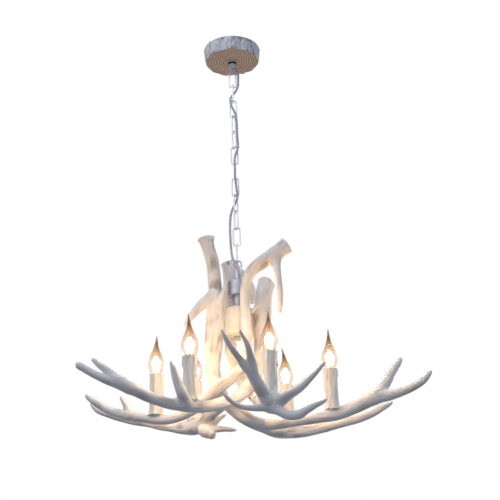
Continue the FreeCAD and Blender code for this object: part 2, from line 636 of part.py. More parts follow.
screw_radius = size("screw_radius")
head_radius, head_height = size("screw_head_radius"), size("screw_head_height")
pad_radius, pad_bite = size("pad_radius"), size("pad_bite")
antler_tools = {name: [] for name in ANTLERS}
antler_bosses = {name: [] for name in ANTLERS}
antler_screws, drum_pads, drum_holes = [], [], []


def antler_screw(name, seat, direction, length, headed, threaded):
    """A screw whose head rests at seat in one piece and whose tail is in another, and their holes."""
    shank = rod_from(f"{name}_shank", screw_radius, seat, direction, length)
    head = rod_from(f"{name}_head", head_radius, seat, -direction, head_height)
    antler_screws.append(fused(name, [shank, head]))
    for i, tools in enumerate((headed, threaded)):
        tools.append(rod_from(f"{name}_hole_{i}", screw_radius + fit, seat.moved(direction, -1), direction,
                              length + 2))
    headed.append(rod_from(f"{name}_head_room", head_radius + fit, seat, -direction, 40))


# uprights: each is let into the drum's side and bolted to a boss on it
root = Spot(0, 0, drum_middle)
for antler, index in UPRIGHTS.items():
    centre, radius = antler_round(antler, index)
    flat = Vector(centre.x.value, centre.y.value, 0)
    distance = scale * (flat.Length / scale.value)
    outward = flat.normalize()
    pad_end = distance - radius + pad_bite
    drum_pads.append(rod_from(f"{antler}_pad", pad_radius, root, outward, pad_end))
    tools = antler_tools[antler]
    tools.append(rod_from(f"{antler}_pad_seat", pad_radius + fit, root, outward, pad_end + fit))
    tools.append(rod(f"{antler}_drum_room", drum_radius + rib + fit, drum_height + 2, z=drum_bottom - 1))
    tail = nipple_radius + 6
    seat = distance + radius * 0.4
    antler_screw(f"{antler}_screw", root.moved(outward, seat), -outward, seat - tail, tools, drum_holes)

for i, (headed, head_index, threaded, tail_index) in enumerate(CROSSINGS):
    near, near_radius = antler_round(headed, head_index)
    far, far_radius = antler_round(threaded, tail_index)
    line = far.point() - near.point()
    apart = scale * (line.Length / scale.value)
    line.normalize()
    antler_screw(f"crossing_screw_{i}", near.moved(line, near_radius * -0.4), line,
                 apart + (near_radius + far_radius) * 0.4, antler_tools[headed], antler_tools[threaded])

# the far left antler's cut end is coped round the far right antler's beam
cope_start, _ = antler_round("antler_far_right", 0)
cope_end, cope_radius = antler_round("antler_far_right", 3)
cope_line = cope_end.point() - cope_start.point()
cope_length = scale * (cope_line.Length / scale.value) + 40
cope_line.normalize()
antler_tools["antler_far_left"].append(
    rod_from("cope", cope_radius + 0.6, cope_start.moved(cope_line, -20), cope_line, cope_length))

# ---- candles: sleeve, threaded tube, lamp holder, bulb and cap, each on its antler's seat
sleeve_radius, sleeve_height = size("sleeve_radius"), size("sleeve_height")
sleeve_bore = sleeve_radius - size("sleeve_wall")
sleeve_foot, foot_height = size("sleeve_foot"), size("sleeve_foot_height")
holder_radius, holder_height = size("holder_radius"), size("holder_height")
holder_top = sleeve_height - size("holder_drop")
socket_depth = size("socket_depth")
cap_radius, cap_height = size("cap_radius"), size("cap_height")
contact_radius, contact_height = size("contact_radius"), size("contact_height")
bulb_radius, bulb_length, glass_wall = size("bulb_radius"), size("bulb_length"), size("glass_wall")
nipple_depth = size("candle_nipple_depth")
# outline of the flame bulb: share of its length, share of its widest radius
FLAME = [(0, 0.5), (0.06, 0.62), (0.16, 0.86), (0.28, 1), (0.4, 0.94), (0.52, 0.72), (0.64, 0.45),
         (0.76, 0.26), (0.88, 0.14), (0.96, 0.08), (1, 0.05)]
TIP_LEAN = 6


def flame(name, x, y, z, tip_angle, inset):
    """The bulb's glass outline, drawn in by inset, with its tip bent to one side."""
    circles = []
    rounds = [(share, width) for share, width in FLAME if width * bulb_radius.value > inset.value + 0.8]
    for i, (share, width) in enumerate(rounds):
        lean = TIP_LEAN * max(0, share * 2 - 1) ** 2
        circle = doc.addObject("Part::Circle", f"{name}_{i}")
        bind(circle, "Radius", bulb_radius * width - inset)
        side_x = lean * math.cos(math.radians(tip_angle))
        side_y = lean * math.sin(math.radians(tip_angle))
        lift = inset * ((i == 0) - (i == len(rounds) - 1))
        put(circle, x + side_x, y + side_y, z + bulb_length * share + lift)
        circles.append(circle)
    loft = doc.addObject("Part::Loft", name)
    loft.Sections = circles
    loft.Solid = True
    return loft


candle_nipples = []
for number, (antler, index, tip_angle) in enumerate(CANDLES, start=1):
    centre, radius = antler_round(antler, index)
    x, y = centre.x, centre.y
    seat = centre.z + radius - size("seat_depth")
    # the antler swells into a round seat under the candle
    swell = doc.addObject("Part::Cone", f"seat_swell_{number}")
    bind(swell, "Radius1", radius * 0.8)
    bind(swell, "Radius2", sleeve_foot + 1)
    bind(swell, "Height", radius * 0.9 - size("seat_depth"))
    put(swell, x, y, centre.z + radius * 0.1)
    antler_bosses[antler].append(swell)
    antler_tools[antler].append(rod(f"seat_{number}", sleeve_foot + 1.5, 45, x, y, seat))
    antler_tools[antler].append(
        rod(f"seat_hole_{number}", nipple_radius + fit, nipple_depth + 1, x, y, seat - nipple_depth))

    pieces[f"candle_sleeve_{number}"] = turned(f"candle_sleeve_{number}", [
        (sleeve_bore, 0),
        (sleeve_foot, 0),
        (sleeve_foot - 0.8, foot_height * 0.5),
        (sleeve_radius, foot_height),
        (sleeve_radius, sleeve_height - 1.2),
        (sleeve_radius - 0.6, sleeve_height),
        (sleeve_bore, sleeve_height),
    ], z=seat, x=x, y=y)

    holder_foot = seat + holder_top - holder_height
    thread = holder_height - socket_depth - 6
    pieces[f"lamp_holder_{number}"] = turned(f"lamp_holder_{number}", [
        (nipple_radius + fit, 0),
        (holder_radius, 0),
        (holder_radius, holder_height),
        (cap_radius + fit * 3, holder_height),
        (cap_radius + fit * 3, holder_height - socket_depth),
        (0, holder_height - socket_depth),
        (0, thread),
        (nipple_radius + fit, thread),
    ], z=holder_foot, x=x, y=y)
    tube_length = nipple_depth + holder_top - holder_height + thread - 1
    tube = rod(f"candle_tube_body_{number}", nipple_radius, tube_length, x, y, seat - nipple_depth)
    tube_bore = rod(f"candle_tube_bore_{number}", nipple_bore, tube_length + 2, x, y,
                    seat - nipple_depth - 1)
    candle_nipples.append(cut(f"candle_tube_{number}", tube, [tube_bore]))

    glass_foot = seat + holder_top + 0.3
    outer = flame(f"flame_outer_{number}", x, y, glass_foot, tip_angle, sized(0))
    inner = flame(f"flame_inner_{number}", x, y, glass_foot, tip_angle, glass_wall)
    pieces[f"bulb_glass_{number}"] = cut(f"bulb_glass_{number}", outer, [inner])

    cap_foot = glass_foot - cap_height - contact_height
    cap = turned(f"bulb_cap_body_{number}", [
        (0, 0),
        (contact_radius, 0),
        (contact_radius, contact_height),
        (cap_radius - 1, contact_height),
        (cap_radius, contact_height + 1),
        (cap_radius, contact_height + cap_height),
        (0, contact_height + cap_height),
    ], z=cap_foot, x=x, y=y)
    pieces[f"bulb_cap_{number}"] = cap

pieces["candle_nipples"] = group("candle_nipples", candle_nipples)
pieces["antler_screws"] = group("antler_screws", antler_screws)
pieces["hub_drum"] = cut("hub_drum", cut("hub_drum_bored", fused("hub_drum_padded", [drum] + drum_pads), [
    rod("drum_rod_room", nipple_radius + fit, drum_height, z=drum_bottom)]), drum_holes)
for antler, branches in ANTLERS.items():
    lofts = [branch_solid(f"{antler}_branch_{i}", rounds, 9 if i else 15)
             for i, rounds in enumerate(branches)]
    lofts += antler_bosses[antler]
    whole = fused(f"{antler}_whole", lofts) if len(lofts) > 1 else lofts[0]
    pieces[antler] = cut(antler, whole, antler_tools[antler])

# ---- lamp cable: from the threaded tube, out of the loop holder, woven down the chain to the cup.
# Along the chain each point is (x, y, place), where place 0 is the middle of the first link and
# place 1 the middle of the second.
CHAIN_POINTS = [
    (14.2, 0.5, -0.23), (13.4, 0.8, 0.16), (13, 0.3, 0.51), (5.3, 0, 0.87), (-5.5, -0.8, 1.21),
    (-6.8, -5.7, 1.49), (-4, -5.9, 1.89), (3, -5.7, 2.23), (6.4, -5.5, 2.59), (7.4, -1.8, 2.98),
    (7.4, -1.2, 3.44), (7.7, -1.6, 3.91), (9.2, -4.2, 4.31), (8.8, -6.2, 4.61), (2.5, -5.8, 4.95),
    (0, -6.4, 5.26), (0.1, -13.2, 5.5), (0.4, -13.6, 5.88), (0, -13.4, 6.27), (0.3, -13.1, 6.52),
    (1.5, -6, 6.81), (2.6, -5.6, 7.19), (4.8, -6, 7.54), (2.6, -2.4, 7.8), (-3.2, 1.2, 8.06),
    (-8.6, 3, 8.3), (-12.6, 3, 8.63), (-14.6, 2, 9.09), (-15.1, 1, 9.6), (-14.7, 0, 10.14),
    (-13.8, -1.6, 10.65), (-12.2, -5.2, 11.11), (-9, -9.6, 11.52), (-3, -12.8, 11.89), (4, -14.6, 12.23),
]


def rounded_route(points):
    """Straight runs between the points, joined by tangent arcs, and each arc's radius."""
    points = [Vector(*p) for p in points]
    edges, radii, start = [], [], points[0]
    for before, corner, after in zip(points, points[1:], points[2:]):
        come, go = corner - before, after - corner
        trim = 0.45 * min(come.Length, go.Length)
        turn = come.getAngle(go)
        come.normalize()
        go.normalize()
        if turn < 1e-4:
            continue
        first, last = corner - come * trim, corner + go * trim
        radius = trim / math.tan(turn / 2)
        radii.append(radius)
        sag = radius / math.cos(turn / 2) - radius
        middle = corner + (go - come).normalize() * sag
        edges.append(Part.LineSegment(start, first).toShape())
        edges.append(Part.Arc(first, middle, last).toShape())
        start = last
    edges.append(Part.LineSegment(start, points[-1]).toShape())
    return Part.Wire(edges), radii


def tube(name, points, radius):
    """A round tube along a rounded route, with its wire for the length."""
    wire, radii = rounded_route(points)
    spine = doc.addObject("Part::Feature", f"{name}_line")
    spine.Shape = wire
    ring = doc.addObject("Part::Circle", f"{name}_ring")
    bind(ring, "Radius", radius)
    start, direction = Vector(*points[0]), Vector(*points[1]) - Vector(*points[0])
    ring.Placement = Placement(start, Rotation(Vector(0, 0, 1), direction))
    sweep = doc.addObject("Part::Sweep", name)
    sweep.Sections = [ring]
    sweep.Spine = (spine, [])
    sweep.Solid = True
    return sweep, wire, radii


nipple_top = bridge_bottom.value + strap_thickness.value + 1.5
cable_points = [(0, 0, nipple_top + 1), (0.3, 0, nipple_top - 15), (0, 0, loop_top.value - 6.5)]
cable_points += [(6, 0, loop_top.value - 14.5), (12.5, 0, loop_top.value - 23)]
for x, y, place in CHAIN_POINTS:
    cable_points.append((x, y, first_top.value - link_length.value / 2 - pitch.value * place))
for z in (cup_top.value + 4, cup_top.value - 11):
    cable_points.append((bushing_x.value, bushing_y.value, z))
jacket, jacket_line, radii = tube("cable_jacket", cable_points, cable_radius)
cores = []
for i, x in enumerate(pole_x):
    x, z = x.value, core_z.value
    edge = strap_width.value / 2
    core_points = [(0.6 * (1 - i), 0.5, nipple_top - 4), (0.6 * (1 - i), 0, nipple_top + 2.5)]
    core_points += [(x * 0.45, -edge * 0.7, nipple_top + 4.5 - i * 0.2), (x, -edge - 6, nipple_top - 1)]
    core_points += [(x, -edge - 5.5, z), (x, -edge + 4, z)]
    cores.append(tube(f"core_{i}", core_points, core_radius)[0])
pieces["cable"] = fused("cable", [jacket] + cores)
doc.recompute()
section = math.pi * cable_radius.value ** 2
print(f"cable: length {jacket_line.Length:.1f}, volume over section x length "
      f"{jacket.Shape.Volume / section / jacket_line.Length:.4f}")
print("cable arc radii:", " ".join(f"{radius:.0f}" for radius in radii))

# ---- checks, then the files
for obj in doc.Objects:
    if "Invalid" in obj.State or "Error" in obj.State:
        raise RuntimeError(f"{obj.Name}: {obj.State}")
for label, obj in pieces.items():
    obj.Label = label
    shape = obj.Shape
    if shape.isNull() or not shape.isValid() or not shape.Solids:
        raise RuntimeError(f"{label} has no valid shape")
    print(label, len(shape.Solids), round(shape.Volume))
    shape.exportStep(f"parts/{label}.step")
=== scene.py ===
import bpy
import math
import numpy as np
from mathutils import Matrix, Vector


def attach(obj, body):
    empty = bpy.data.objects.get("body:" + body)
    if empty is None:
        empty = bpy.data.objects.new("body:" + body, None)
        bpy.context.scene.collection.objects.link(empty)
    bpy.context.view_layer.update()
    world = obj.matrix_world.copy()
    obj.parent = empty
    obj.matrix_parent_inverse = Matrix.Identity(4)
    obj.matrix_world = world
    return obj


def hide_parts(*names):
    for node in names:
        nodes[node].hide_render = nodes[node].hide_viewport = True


# Antler chandelier, dressed over the CAD frame. Lengths below are in mm unless a name says m.

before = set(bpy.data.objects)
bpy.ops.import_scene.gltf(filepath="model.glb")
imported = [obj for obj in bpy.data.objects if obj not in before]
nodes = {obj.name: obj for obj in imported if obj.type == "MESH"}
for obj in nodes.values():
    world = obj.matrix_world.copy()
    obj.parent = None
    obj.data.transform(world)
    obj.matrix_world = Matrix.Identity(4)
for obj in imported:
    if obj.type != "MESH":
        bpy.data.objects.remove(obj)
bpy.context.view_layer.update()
MM = 0.001


# ---------------- camera, light and surroundings
def look(place, pitch, roll, yaw, focal_px):
    """A camera at place (m), pitched up, turned and rolled by angles in degrees."""
    pitch, roll, yaw = (math.radians(a) for a in (pitch, roll, yaw))
    right = Vector((math.cos(yaw), math.sin(yaw), 0))
    ahead = Vector((-math.sin(yaw), math.cos(yaw), 0))
    forward = ahead * math.cos(pitch) + Vector((0, 0, math.sin(pitch)))
    up = Vector((0, 0, math.cos(pitch))) - ahead * math.sin(pitch)
    across = right * math.cos(roll) + up * math.sin(roll)
    upward = up * math.cos(roll) - right * math.sin(roll)
    camera = bpy.data.objects.new("camera", bpy.data.cameras.new("camera"))
    bpy.context.scene.collection.objects.link(camera)
    camera.data.sensor_width = 36
    camera.data.lens = 36 * focal_px / 500
    camera.data.clip_end = 100
    turn = Matrix((across, upward, -forward)).transposed().to_4x4()
    camera.matrix_world = Matrix.Translation(place) @ turn
    bpy.context.scene.camera = camera


def lamp(name, kind, place, energy, colour, **settings):
    light = bpy.data.lights.new(name, kind)
    light.energy = energy
    light.color = colour
    for key, value in settings.items():
        setattr(light, key, value)
    piece = bpy.data.objects.new(name, light)
    piece.location = place
    bpy.context.scene.collection.objects.link(piece)
    return piece


def aim(piece, target):
    piece.rotation_euler = (Vector(target) - piece.location).to_track_quat("-Z", "Y").to_euler()


# ---------------- materials
def srgb(hex_value):
    """Linear colour of an sRGB hex value."""
    channels = [int(hex_value[i:i + 2], 16) / 255 for i in (1, 3, 5)]
    return [c / 12.92 if c <= 0.04045 else ((c + 0.055) / 1.055) ** 2.4 for c in channels] + [1.0]


def add(tree, kind, links=None, **settings):
    """Adds a node; links maps an input's name or number to a value or to an output socket."""
    made = tree.nodes.new(kind)
    for key, value in settings.items():
        setattr(made, key, value)
    for key, value in (links or {}).items():
        if isinstance(value, bpy.types.NodeSocket):
            tree.links.new(value, made.inputs[key])
        else:
            made.inputs[key].default_value = value
    return made


def wire(tree, bsdf, **sockets):
    """Links outputs to the shader's inputs of those names, with _ for a space."""
    for key, output in sockets.items():
        tree.links.new(output, bsdf.inputs[key.replace("_", " ")])


def ramp(tree, fac, *stops):
    """A colour ramp through (position, hex) stops."""
    made = add(tree, "ShaderNodeValToRGB", {"Fac": fac})
    band = made.color_ramp
    while len(band.elements) < len(stops):
        band.elements.new(0.5)
    for element, (position, colour) in zip(band.elements, stops):
        element.position = position
        element.color = srgb(colour)
    return made.outputs["Color"]


def span(tree, value, take=(0, 1), give=(0, 1)):
    """Maps value from the range take to the range give."""
    ends = {"From Min": take[0], "From Max": take[1], "To Min": give[0], "To Max": give[1]}
    return add(tree, "ShaderNodeMapRange", {"Value": value, **ends}).outputs[0]


def combine(tree, operation, one, two):
    return add(tree, "ShaderNodeMath", {0: one, 1: two}, operation=operation).outputs[0]


def mix_colours(tree, share, one, two):
    return add(tree, "ShaderNodeMix", {0: share, 6: one, 7: two}, data_type="RGBA").outputs[2]


def toned(tree, colour, value):
    return add(tree, "ShaderNodeHueSaturation", {"Value": value, "Color": colour}).outputs[0]


def read_attribute(tree, name, output="Fac"):
    return add(tree, "ShaderNodeAttribute", attribute_name=name).outputs[output]


def finish(name, **shader):
    """An empty material with one Principled shader; returns it, its tree, the shader and the
    coordinates of the piece in metres."""
    material = bpy.data.materials.new(name)
    material.use_nodes = True
    tree = material.node_tree
    bsdf = tree.nodes["Principled BSDF"]
    for key, value in shader.items():
        bsdf.inputs[key.replace("_", " ")].default_value = value
    place = add(tree, "ShaderNodeTexCoord").outputs["Object"]
    return material, tree, bsdf, place


def noise(tree, place, millimetres, detail=3.0, stretch=(1, 1, 1)):
    """Noise whose features are about so many mm across; stretch lengthens them along an axis."""
    scale = [1000 / millimetres / s for s in stretch]
    moved = add(tree, "ShaderNodeMapping", {"Vector": place, "Scale": scale}).outputs[0]
    links = {"Vector": moved, "Scale": 1.0, "Detail": detail}
    return add(tree, "ShaderNodeTexNoise", links).outputs["Fac"]


def bump(tree, height, millimetres, strength, normal=None):
    links = {"Height": height, "Distance": millimetres * MM, "Strength": strength}
    if normal is not None:
        links["Normal"] = normal
    return add(tree, "ShaderNodeBump", links).outputs["Normal"]


def antler_resin():
    # cast polyresin, painted off-white: chalky sheen and faint grain along the antler, with painted shade
    # that darkens the grooves towards a dust colour by their depth
    material, tree, bsdf, place = finish("cast_resin_antler_white", Roughness=0.5, IOR=1.5)
    grain = read_attribute(tree, "grain", "Vector")
    streak = noise(tree, grain, 3.5, 5.0, (1, 1, 14))
    dust = combine(tree, "MULTIPLY", streak, noise(tree, grain, 16, 2.0, (1, 1, 7)))
    body = ramp(tree, dust, (0.1, "#dfd4ca"), (0.17, "#efe8e0"), (0.25, "#f4efe9"), (0.45, "#f9f7f4"))
    # painted shade: the deeper the groove, the more the colour goes to the dark #a1978f
    groove_shade_share = span(tree, read_attribute(tree, "groove"), take=(0.1, 0.9))
    groove_painted_shade = mix_colours(tree, groove_shade_share, body, srgb("#a1978f"))
    worn = span(tree, noise(tree, place, 45, 3.0), give=(0.93, 1.03))
    normal = bump(tree, streak, 0.8, 0.8)
    normal = bump(tree, noise(tree, grain, 1.3, 3.0, (1, 1, 22)), 0.3, 0.8, normal)
    normal = bump(tree, noise(tree, place, 1.2, 2.0), 0.05, 0.5, normal)
    rough = span(tree, streak, give=(0.42, 0.62))
    wire(tree, bsdf, Base_Color=toned(tree, groove_painted_shade, worn), Roughness=rough, Normal=normal)
    return material


def hub_resin():
    # the same resin, cast in a smooth turned form and sanded; the nut below the drum has its colour too
    material, tree, bsdf, place = finish("cast_resin_hub_cream", Roughness=0.45, IOR=1.5)
    body = ramp(tree, noise(tree, place, 22, 4.0), (0.3, "#e6dccb"), (0.55, "#f0eade"), (0.75, "#f6f2ea"))
    fine = noise(tree, place, 1.5, 3.0, (1, 1, 0.4))
    wire(tree, bsdf, Base_Color=body, Normal=bump(tree, fine, 0.15, 0.6))
    return material


def wax_sleeve():
    # moulded candle sleeve in ivory plastic with a waxy depth
    material, tree, bsdf, place = finish("moulded_candle_sleeve_ivory", Roughness=0.42, IOR=1.46,
                                         Subsurface_Weight=0.12)
    bsdf.inputs["Subsurface Radius"].default_value = (0.004, 0.003, 0.002)
    cloud = noise(tree, place, 14, 3.0, (1, 1, 3))
    body = ramp(tree, cloud, (0.3, "#e2dccf"), (0.6, "#f1ede4"), (0.8, "#f7f4ee"))
    wire(tree, bsdf, Base_Color=body, Normal=bump(tree, noise(tree, place, 2.2, 2.0), 0.2, 0.5))
    return material


def metal(name, colour, roughness, scratch=1.5, depth=0.05, dark=0.82, metallic=1.0):
    # plated, painted or bare metal: fine scratches in the gloss, slightly uneven tone
    material, tree, bsdf, place = finish(name, Metallic=metallic, Roughness=roughness)
    tone = span(tree, noise(tree, place, 9, 4.0), (0.3, 0.7), (dark, 1.05))
    scratches = noise(tree, place, scratch, 4.0, (1, 1, 5))
    uneven = span(tree, scratches, give=(roughness * 0.75, roughness * 1.35))
    wire(tree, bsdf, Base_Color=toned(tree, srgb(colour), tone), Roughness=uneven,
         Normal=bump(tree, scratches, depth, 0.6))
    return material


def loop_holder():
    # enamelled steel holder under a black rubber ring, with a bright eye below
    material, tree, bsdf, place = finish("enamelled_loop_holder", Roughness=0.35)
    height = add(tree, "ShaderNodeSeparateXYZ", {0: place}).outputs["Z"]
    up = span(tree, height, take=(-0.062, -0.037))
    body = ramp(tree, up, (0.0, "#b9bac4"), (0.34, "#c9cad2"), (0.4, "#ecebe8"), (0.82, "#f4f3f0"),
                (0.86, "#1d1d1f"))
    cloud = noise(tree, place, 3, 3.0)
    wire(tree, bsdf, Base_Color=body, Roughness=span(tree, cloud, give=(0.28, 0.5)),
         Normal=bump(tree, cloud, 0.05, 0.5))
    return material


def plastic(name, colour, darker, roughness):
    # moulded thermoplastic with a spark-eroded grain
    material, tree, bsdf, place = finish(name, Roughness=roughness, IOR=1.49)
    body = ramp(tree, noise(tree, place, 6, 3.0), (0.35, darker), (0.6, colour))
    wire(tree, bsdf, Base_Color=body, Normal=bump(tree, noise(tree, place, 0.8, 2.0), 0.06, 0.5))
    return material


def bark():
    # bark under a thin coat of limewash: pale bluish grey with darker cracks that run up the trunk
    material, tree, bsdf, place = finish("limewashed_bark", Roughness=0.85, IOR=1.45)
    plates = noise(tree, place, 8, 6.0, (1, 1, 4))
    flakes = noise(tree, place, 2.4, 5.0, (1, 1, 1.6))
    both = combine(tree, "MULTIPLY", plates, flakes)
    body = ramp(tree, both, (0.13, "#5f5e64"), (0.18, "#aeb0b6"), (0.23, "#dfe2e6"), (0.36, "#f8fafb"))
    wire(tree, bsdf, Base_Color=body, Normal=bump(tree, flakes, 0.5, 0.8, bump(tree, plates, 1.6, 0.9)))
    return material


def sawn_wood():
    # end grain of the slice: growth rings about 6 mm apart round an off-centre pith, with drying
    # cracks and saw marks
    material, tree, bsdf, place = finish("sawn_end_grain_grey_brown", Roughness=0.68, IOR=1.5)
    wander = noise(tree, place, 26, 3.0).node.outputs["Color"]
    bent = add(tree, "ShaderNodeVectorMath", {0: wander, 1: (0.009, 0.009, 0)}, operation="MULTIPLY")
    moved = add(tree, "ShaderNodeVectorMath", {0: place, 1: bent.outputs[0]}, operation="ADD")
    pith = add(tree, "ShaderNodeMapping", {"Vector": moved.outputs[0], "Location": (-0.003, -0.001, 0.0),
                                           "Scale": (1.0, 1.0, 0.0)})
    rings = add(tree, "ShaderNodeTexWave", {"Vector": pith.outputs[0], "Scale": 54.0, "Distortion": 0.5,
                                            "Detail": 2.0, "Detail Scale": 4.0},
                wave_type="RINGS", rings_direction="SPHERICAL", wave_profile="SAW").outputs["Fac"]
    pores = noise(tree, place, 1.4, 4.0)
    mixed = add(tree, "ShaderNodeMix", {0: 0.2, 2: rings, 3: pores}).outputs[0]
    body = ramp(tree, mixed, (0.15, "#84695a"), (0.4, "#cfb5a0"), (0.62, "#ead8c8"), (0.9, "#fff6ea"))
    warm = span(tree, noise(tree, place, 30, 2.0), (0.5, 0.75), (0, 0.6))
    wire(tree, bsdf, Base_Color=mix_colours(tree, warm, body, srgb("#d9a171")),
         Normal=bump(tree, pores, 0.25, 0.6, bump(tree, rings, 0.35, 0.7)))
    return material


def flame_glass():
    # thin blown lamp glass, faintly amber: the colour gathers where the eye looks along the wall, and the
    # glass turns darker brown towards the tail
    material, tree, bsdf, place = finish("blown_lamp_glass_amber", Roughness=0.015, IOR=1.48,
                                         Transmission_Weight=1.0)
    tail_brown = ramp(tree, read_attribute(tree, "tail"), (0.38, "#fffdf8"), (0.6, "#ead4b6"), (0.82, "#a58c6d"))
    inside = add(tree, "ShaderNodeVolumeAbsorption")
    inside.inputs["Color"].default_value = srgb("#e0a35c")
    inside.inputs["Density"].default_value = 220.0
    tree.links.new(inside.outputs[0], tree.nodes["Material Output"].inputs["Volume"])
    wire(tree, bsdf, Base_Color=tail_brown, Normal=bump(tree, noise(tree, place, 7, 2.0), 0.1, 0.4))
    return material


def hot_wire():
    # tungsten coil at work, yellow-white
    material, tree, bsdf, place = finish("lit_tungsten_filament", Roughness=0.5)
    heat = ramp(tree, noise(tree, place, 1.0, 1.0), (0.3, "#ffd28a"), (0.7, "#fff0cf"))
    wire(tree, bsdf, Emission_Color=heat)
    bsdf.inputs["Emission Strength"].default_value = 16.0
    return material


def cable_sheath():
    # clear-grey PVC sheath over twisted cores, which show through as a slow spiral
    material, tree, bsdf, place = finish("pvc_cable_sheath_grey", Roughness=0.35, IOR=1.53)
    run = read_attribute(tree, "grain", "Vector")
    twist = add(tree, "ShaderNodeTexWave", {"Vector": run, "Scale": 60.0, "Distortion": 0.3},
                wave_type="BANDS", bands_direction="DIAGONAL").outputs["Fac"]
    wire(tree, bsdf, Base_Color=ramp(tree, twist, (0.2, "#b4b4c0"), (0.8, "#c4c4cf")),
         Normal=bump(tree, noise(tree, place, 1.5, 2.0), 0.05, 0.5))
    return material


def glaze(name, colour):
    # clear glass rod and bead that holds the filament's leads
    material, tree, bsdf, place = finish(name, Roughness=0.05, IOR=1.5, Transmission_Weight=0.7)
    wire(tree, bsdf, Base_Color=ramp(tree, noise(tree, place, 3, 2.0), (0.3, colour), (0.7, "#ffffff")))
    return material


# ---------------- surfaces from arrays
def round_angles(columns):
    return np.linspace(0, 2 * math.pi, columns, endpoint=False)


def around(angle, radius, height, x=0.0, y=0.0):
    """Points round the upright line through (x, y): (x + radius cos angle, y + radius sin angle, height)."""
    sides = x + radius * np.cos(angle), y + radius * np.sin(angle)
    return np.stack(np.broadcast_arrays(*sides, height), -1)


def write_attribute(mesh, name, values):
    """Stores one number or one vector a vertex."""
    values = np.asarray(values, np.float32)
    kind, field = ("FLOAT", "value") if values.ndim == 1 else ("FLOAT_VECTOR", "vector")
    mesh.attributes.new(name, kind, "POINT").data.foreach_set(field, values.ravel())


def mesh_piece(name, points, faces, material, body):
    """A smooth mesh object from vertices in mm and faces, which rides on a body."""
    mesh = bpy.data.meshes.new(name)
    mesh.from_pydata((np.asarray(points) * MM).tolist(), [], faces)
    mesh.materials.append(material)
    mesh.polygons.foreach_set("use_smooth", np.ones(len(mesh.polygons), bool))
    mesh.update()
    piece = bpy.data.objects.new(name, mesh)
    bpy.context.scene.collection.objects.link(piece)
    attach(piece, body)
    return piece


def net(rows, columns, closed_rows=False, first=0):
    """Quads of a grid that is closed round its columns, and round its rows too if asked."""
    r = np.arange(rows if closed_rows else rows - 1)[:, None]
    c = np.arange(columns)[None, :]
    up, side = (r + 1) % rows, (c + 1) % columns
    quads = np.stack([r * columns + c, r * columns + side, up * columns + side, up * columns + c], -1)
    return (quads.reshape(-1, 4) + first).tolist()


def tube_faces(rows, columns, first=0):
    """Quads of a tube, and a fan at each end round one extra point (added after the grid)."""
    faces = net(rows, columns, first=first)
    start, end = first + rows * columns, first + rows * columns + 1
    c = np.arange(columns)
    side = (c + 1) % columns
    last = first + (rows - 1) * columns
    faces += np.stack([np.full(columns, start), first + side, first + c], -1).tolist()
    faces += np.stack([np.full(columns, end), last + c, last + side], -1).tolist()
    return faces


def frames(line):
    """Tangent and two square directions at each point of a line, turned as little as possible."""
    tangent = np.gradient(line, axis=0)
    tangent /= np.linalg.norm(tangent, axis=1)[:, None]
    across = np.zeros_like(line)
    guide = np.array([0.0, 1.0, 0.0]) if abs(tangent[0][1]) < 0.9 else np.array([1.0, 0.0, 0.0])
    for i, t in enumerate(tangent):
        guide = guide - t * guide.dot(t)
        guide /= np.linalg.norm(guide)
        across[i] = guide
    return tangent, across, np.cross(tangent, across)


def tube_points(line, radius, columns=16, crown=0.0):
    """Rings round a line: line + radius (cos a, sin a) in the square directions. radius is a number,
    one value a ring, or a full grid. crown pushes the end points out to round the ends."""
    tangent, across, over = frames(line)
    angle = round_angles(columns)
    radius = np.asarray(radius, float)
    radius = np.broadcast_to(radius[:, None] if radius.ndim == 1 else radius, (len(line), columns))
    ring = np.cos(angle)[None, :, None] * across[:, None] + np.sin(angle)[None, :, None] * over[:, None]
    grid = line[:, None] + radius[..., None] * ring
    ends = [line[0] - tangent[0] * crown, line[-1] + tangent[-1] * crown]
    return np.concatenate([grid.reshape(-1, 3), ends])


def distance_along(line):
    return np.concatenate([[0], np.cumsum(np.linalg.norm(np.diff(line, axis=0), axis=1))])


def ring_wire(name, height, width, flat, wire, middle, turn, material, body, bead):
    """A link: a tube along a rounded rectangle in an upright plane turned about Z."""
    bend = (width - flat) / 2
    side = height - 2 * bend
    arc = np.linspace(0, math.pi / 2, 12)
    quarter = np.stack([flat / 2 + bend * np.sin(arc), side / 2 + bend * np.cos(arc)], -1)
    half = np.concatenate([quarter, quarter[::-1] * (1, -1)])
    path = np.concatenate([half, -half])
    closed = np.vstack([path, path[:1]])
    step = distance_along(closed)
    even = np.linspace(0, step[-1], 96, endpoint=False)
    u, v = np.interp(even, step, closed[:, 0]), np.interp(even, step, closed[:, 1])
    along = np.gradient(np.stack([np.r_[u[-1], u, u[0]], np.r_[v[-1], v, v[0]]], -1), axis=0)[1:-1]
    along /= np.linalg.norm(along, axis=1)[:, None]
    angle = round_angles(18)
    # the weld is a low bead in the middle of one side
    weld = bead * np.exp(-((v / 2.2) ** 2)) * (u > 0)
    radius = (wire / 2 + weld)[:, None]
    outward = np.stack([along[:, 1], -along[:, 0]], -1)
    flatwise = radius * np.cos(angle)
    x = u[:, None] + outward[:, :1] * flatwise
    z = v[:, None] + outward[:, 1:] * flatwise
    y = -radius * np.sin(angle)
    c, s = math.cos(math.radians(turn)), math.sin(math.radians(turn))
    points = np.stack([x * c - y * s, x * s + y * c, z + middle], -1).reshape(-1, 3)
    return mesh_piece(name, points, net(len(u), 18, closed_rows=True), material, body)


def waves(points, size, seed, count=14):
    """Smooth noise from -1 to 1: the mean of cosines in seeded directions, about size mm long."""
    rng = np.random.RandomState(seed)
    direction = rng.normal(size=(count, 3))
    direction /= np.linalg.norm(direction, axis=1)[:, None]
    pace = 2 * math.pi / size * rng.uniform(0.6, 1.5, count)
    phase = rng.uniform(0, 2 * math.pi, count)
    flat = points.reshape(-1, 3)
    total = np.cos(flat @ (direction * pace[:, None]).T + phase).sum(1) / math.sqrt(count)
    return np.clip(total, -1.6, 1.6).reshape(points.shape[:-1])


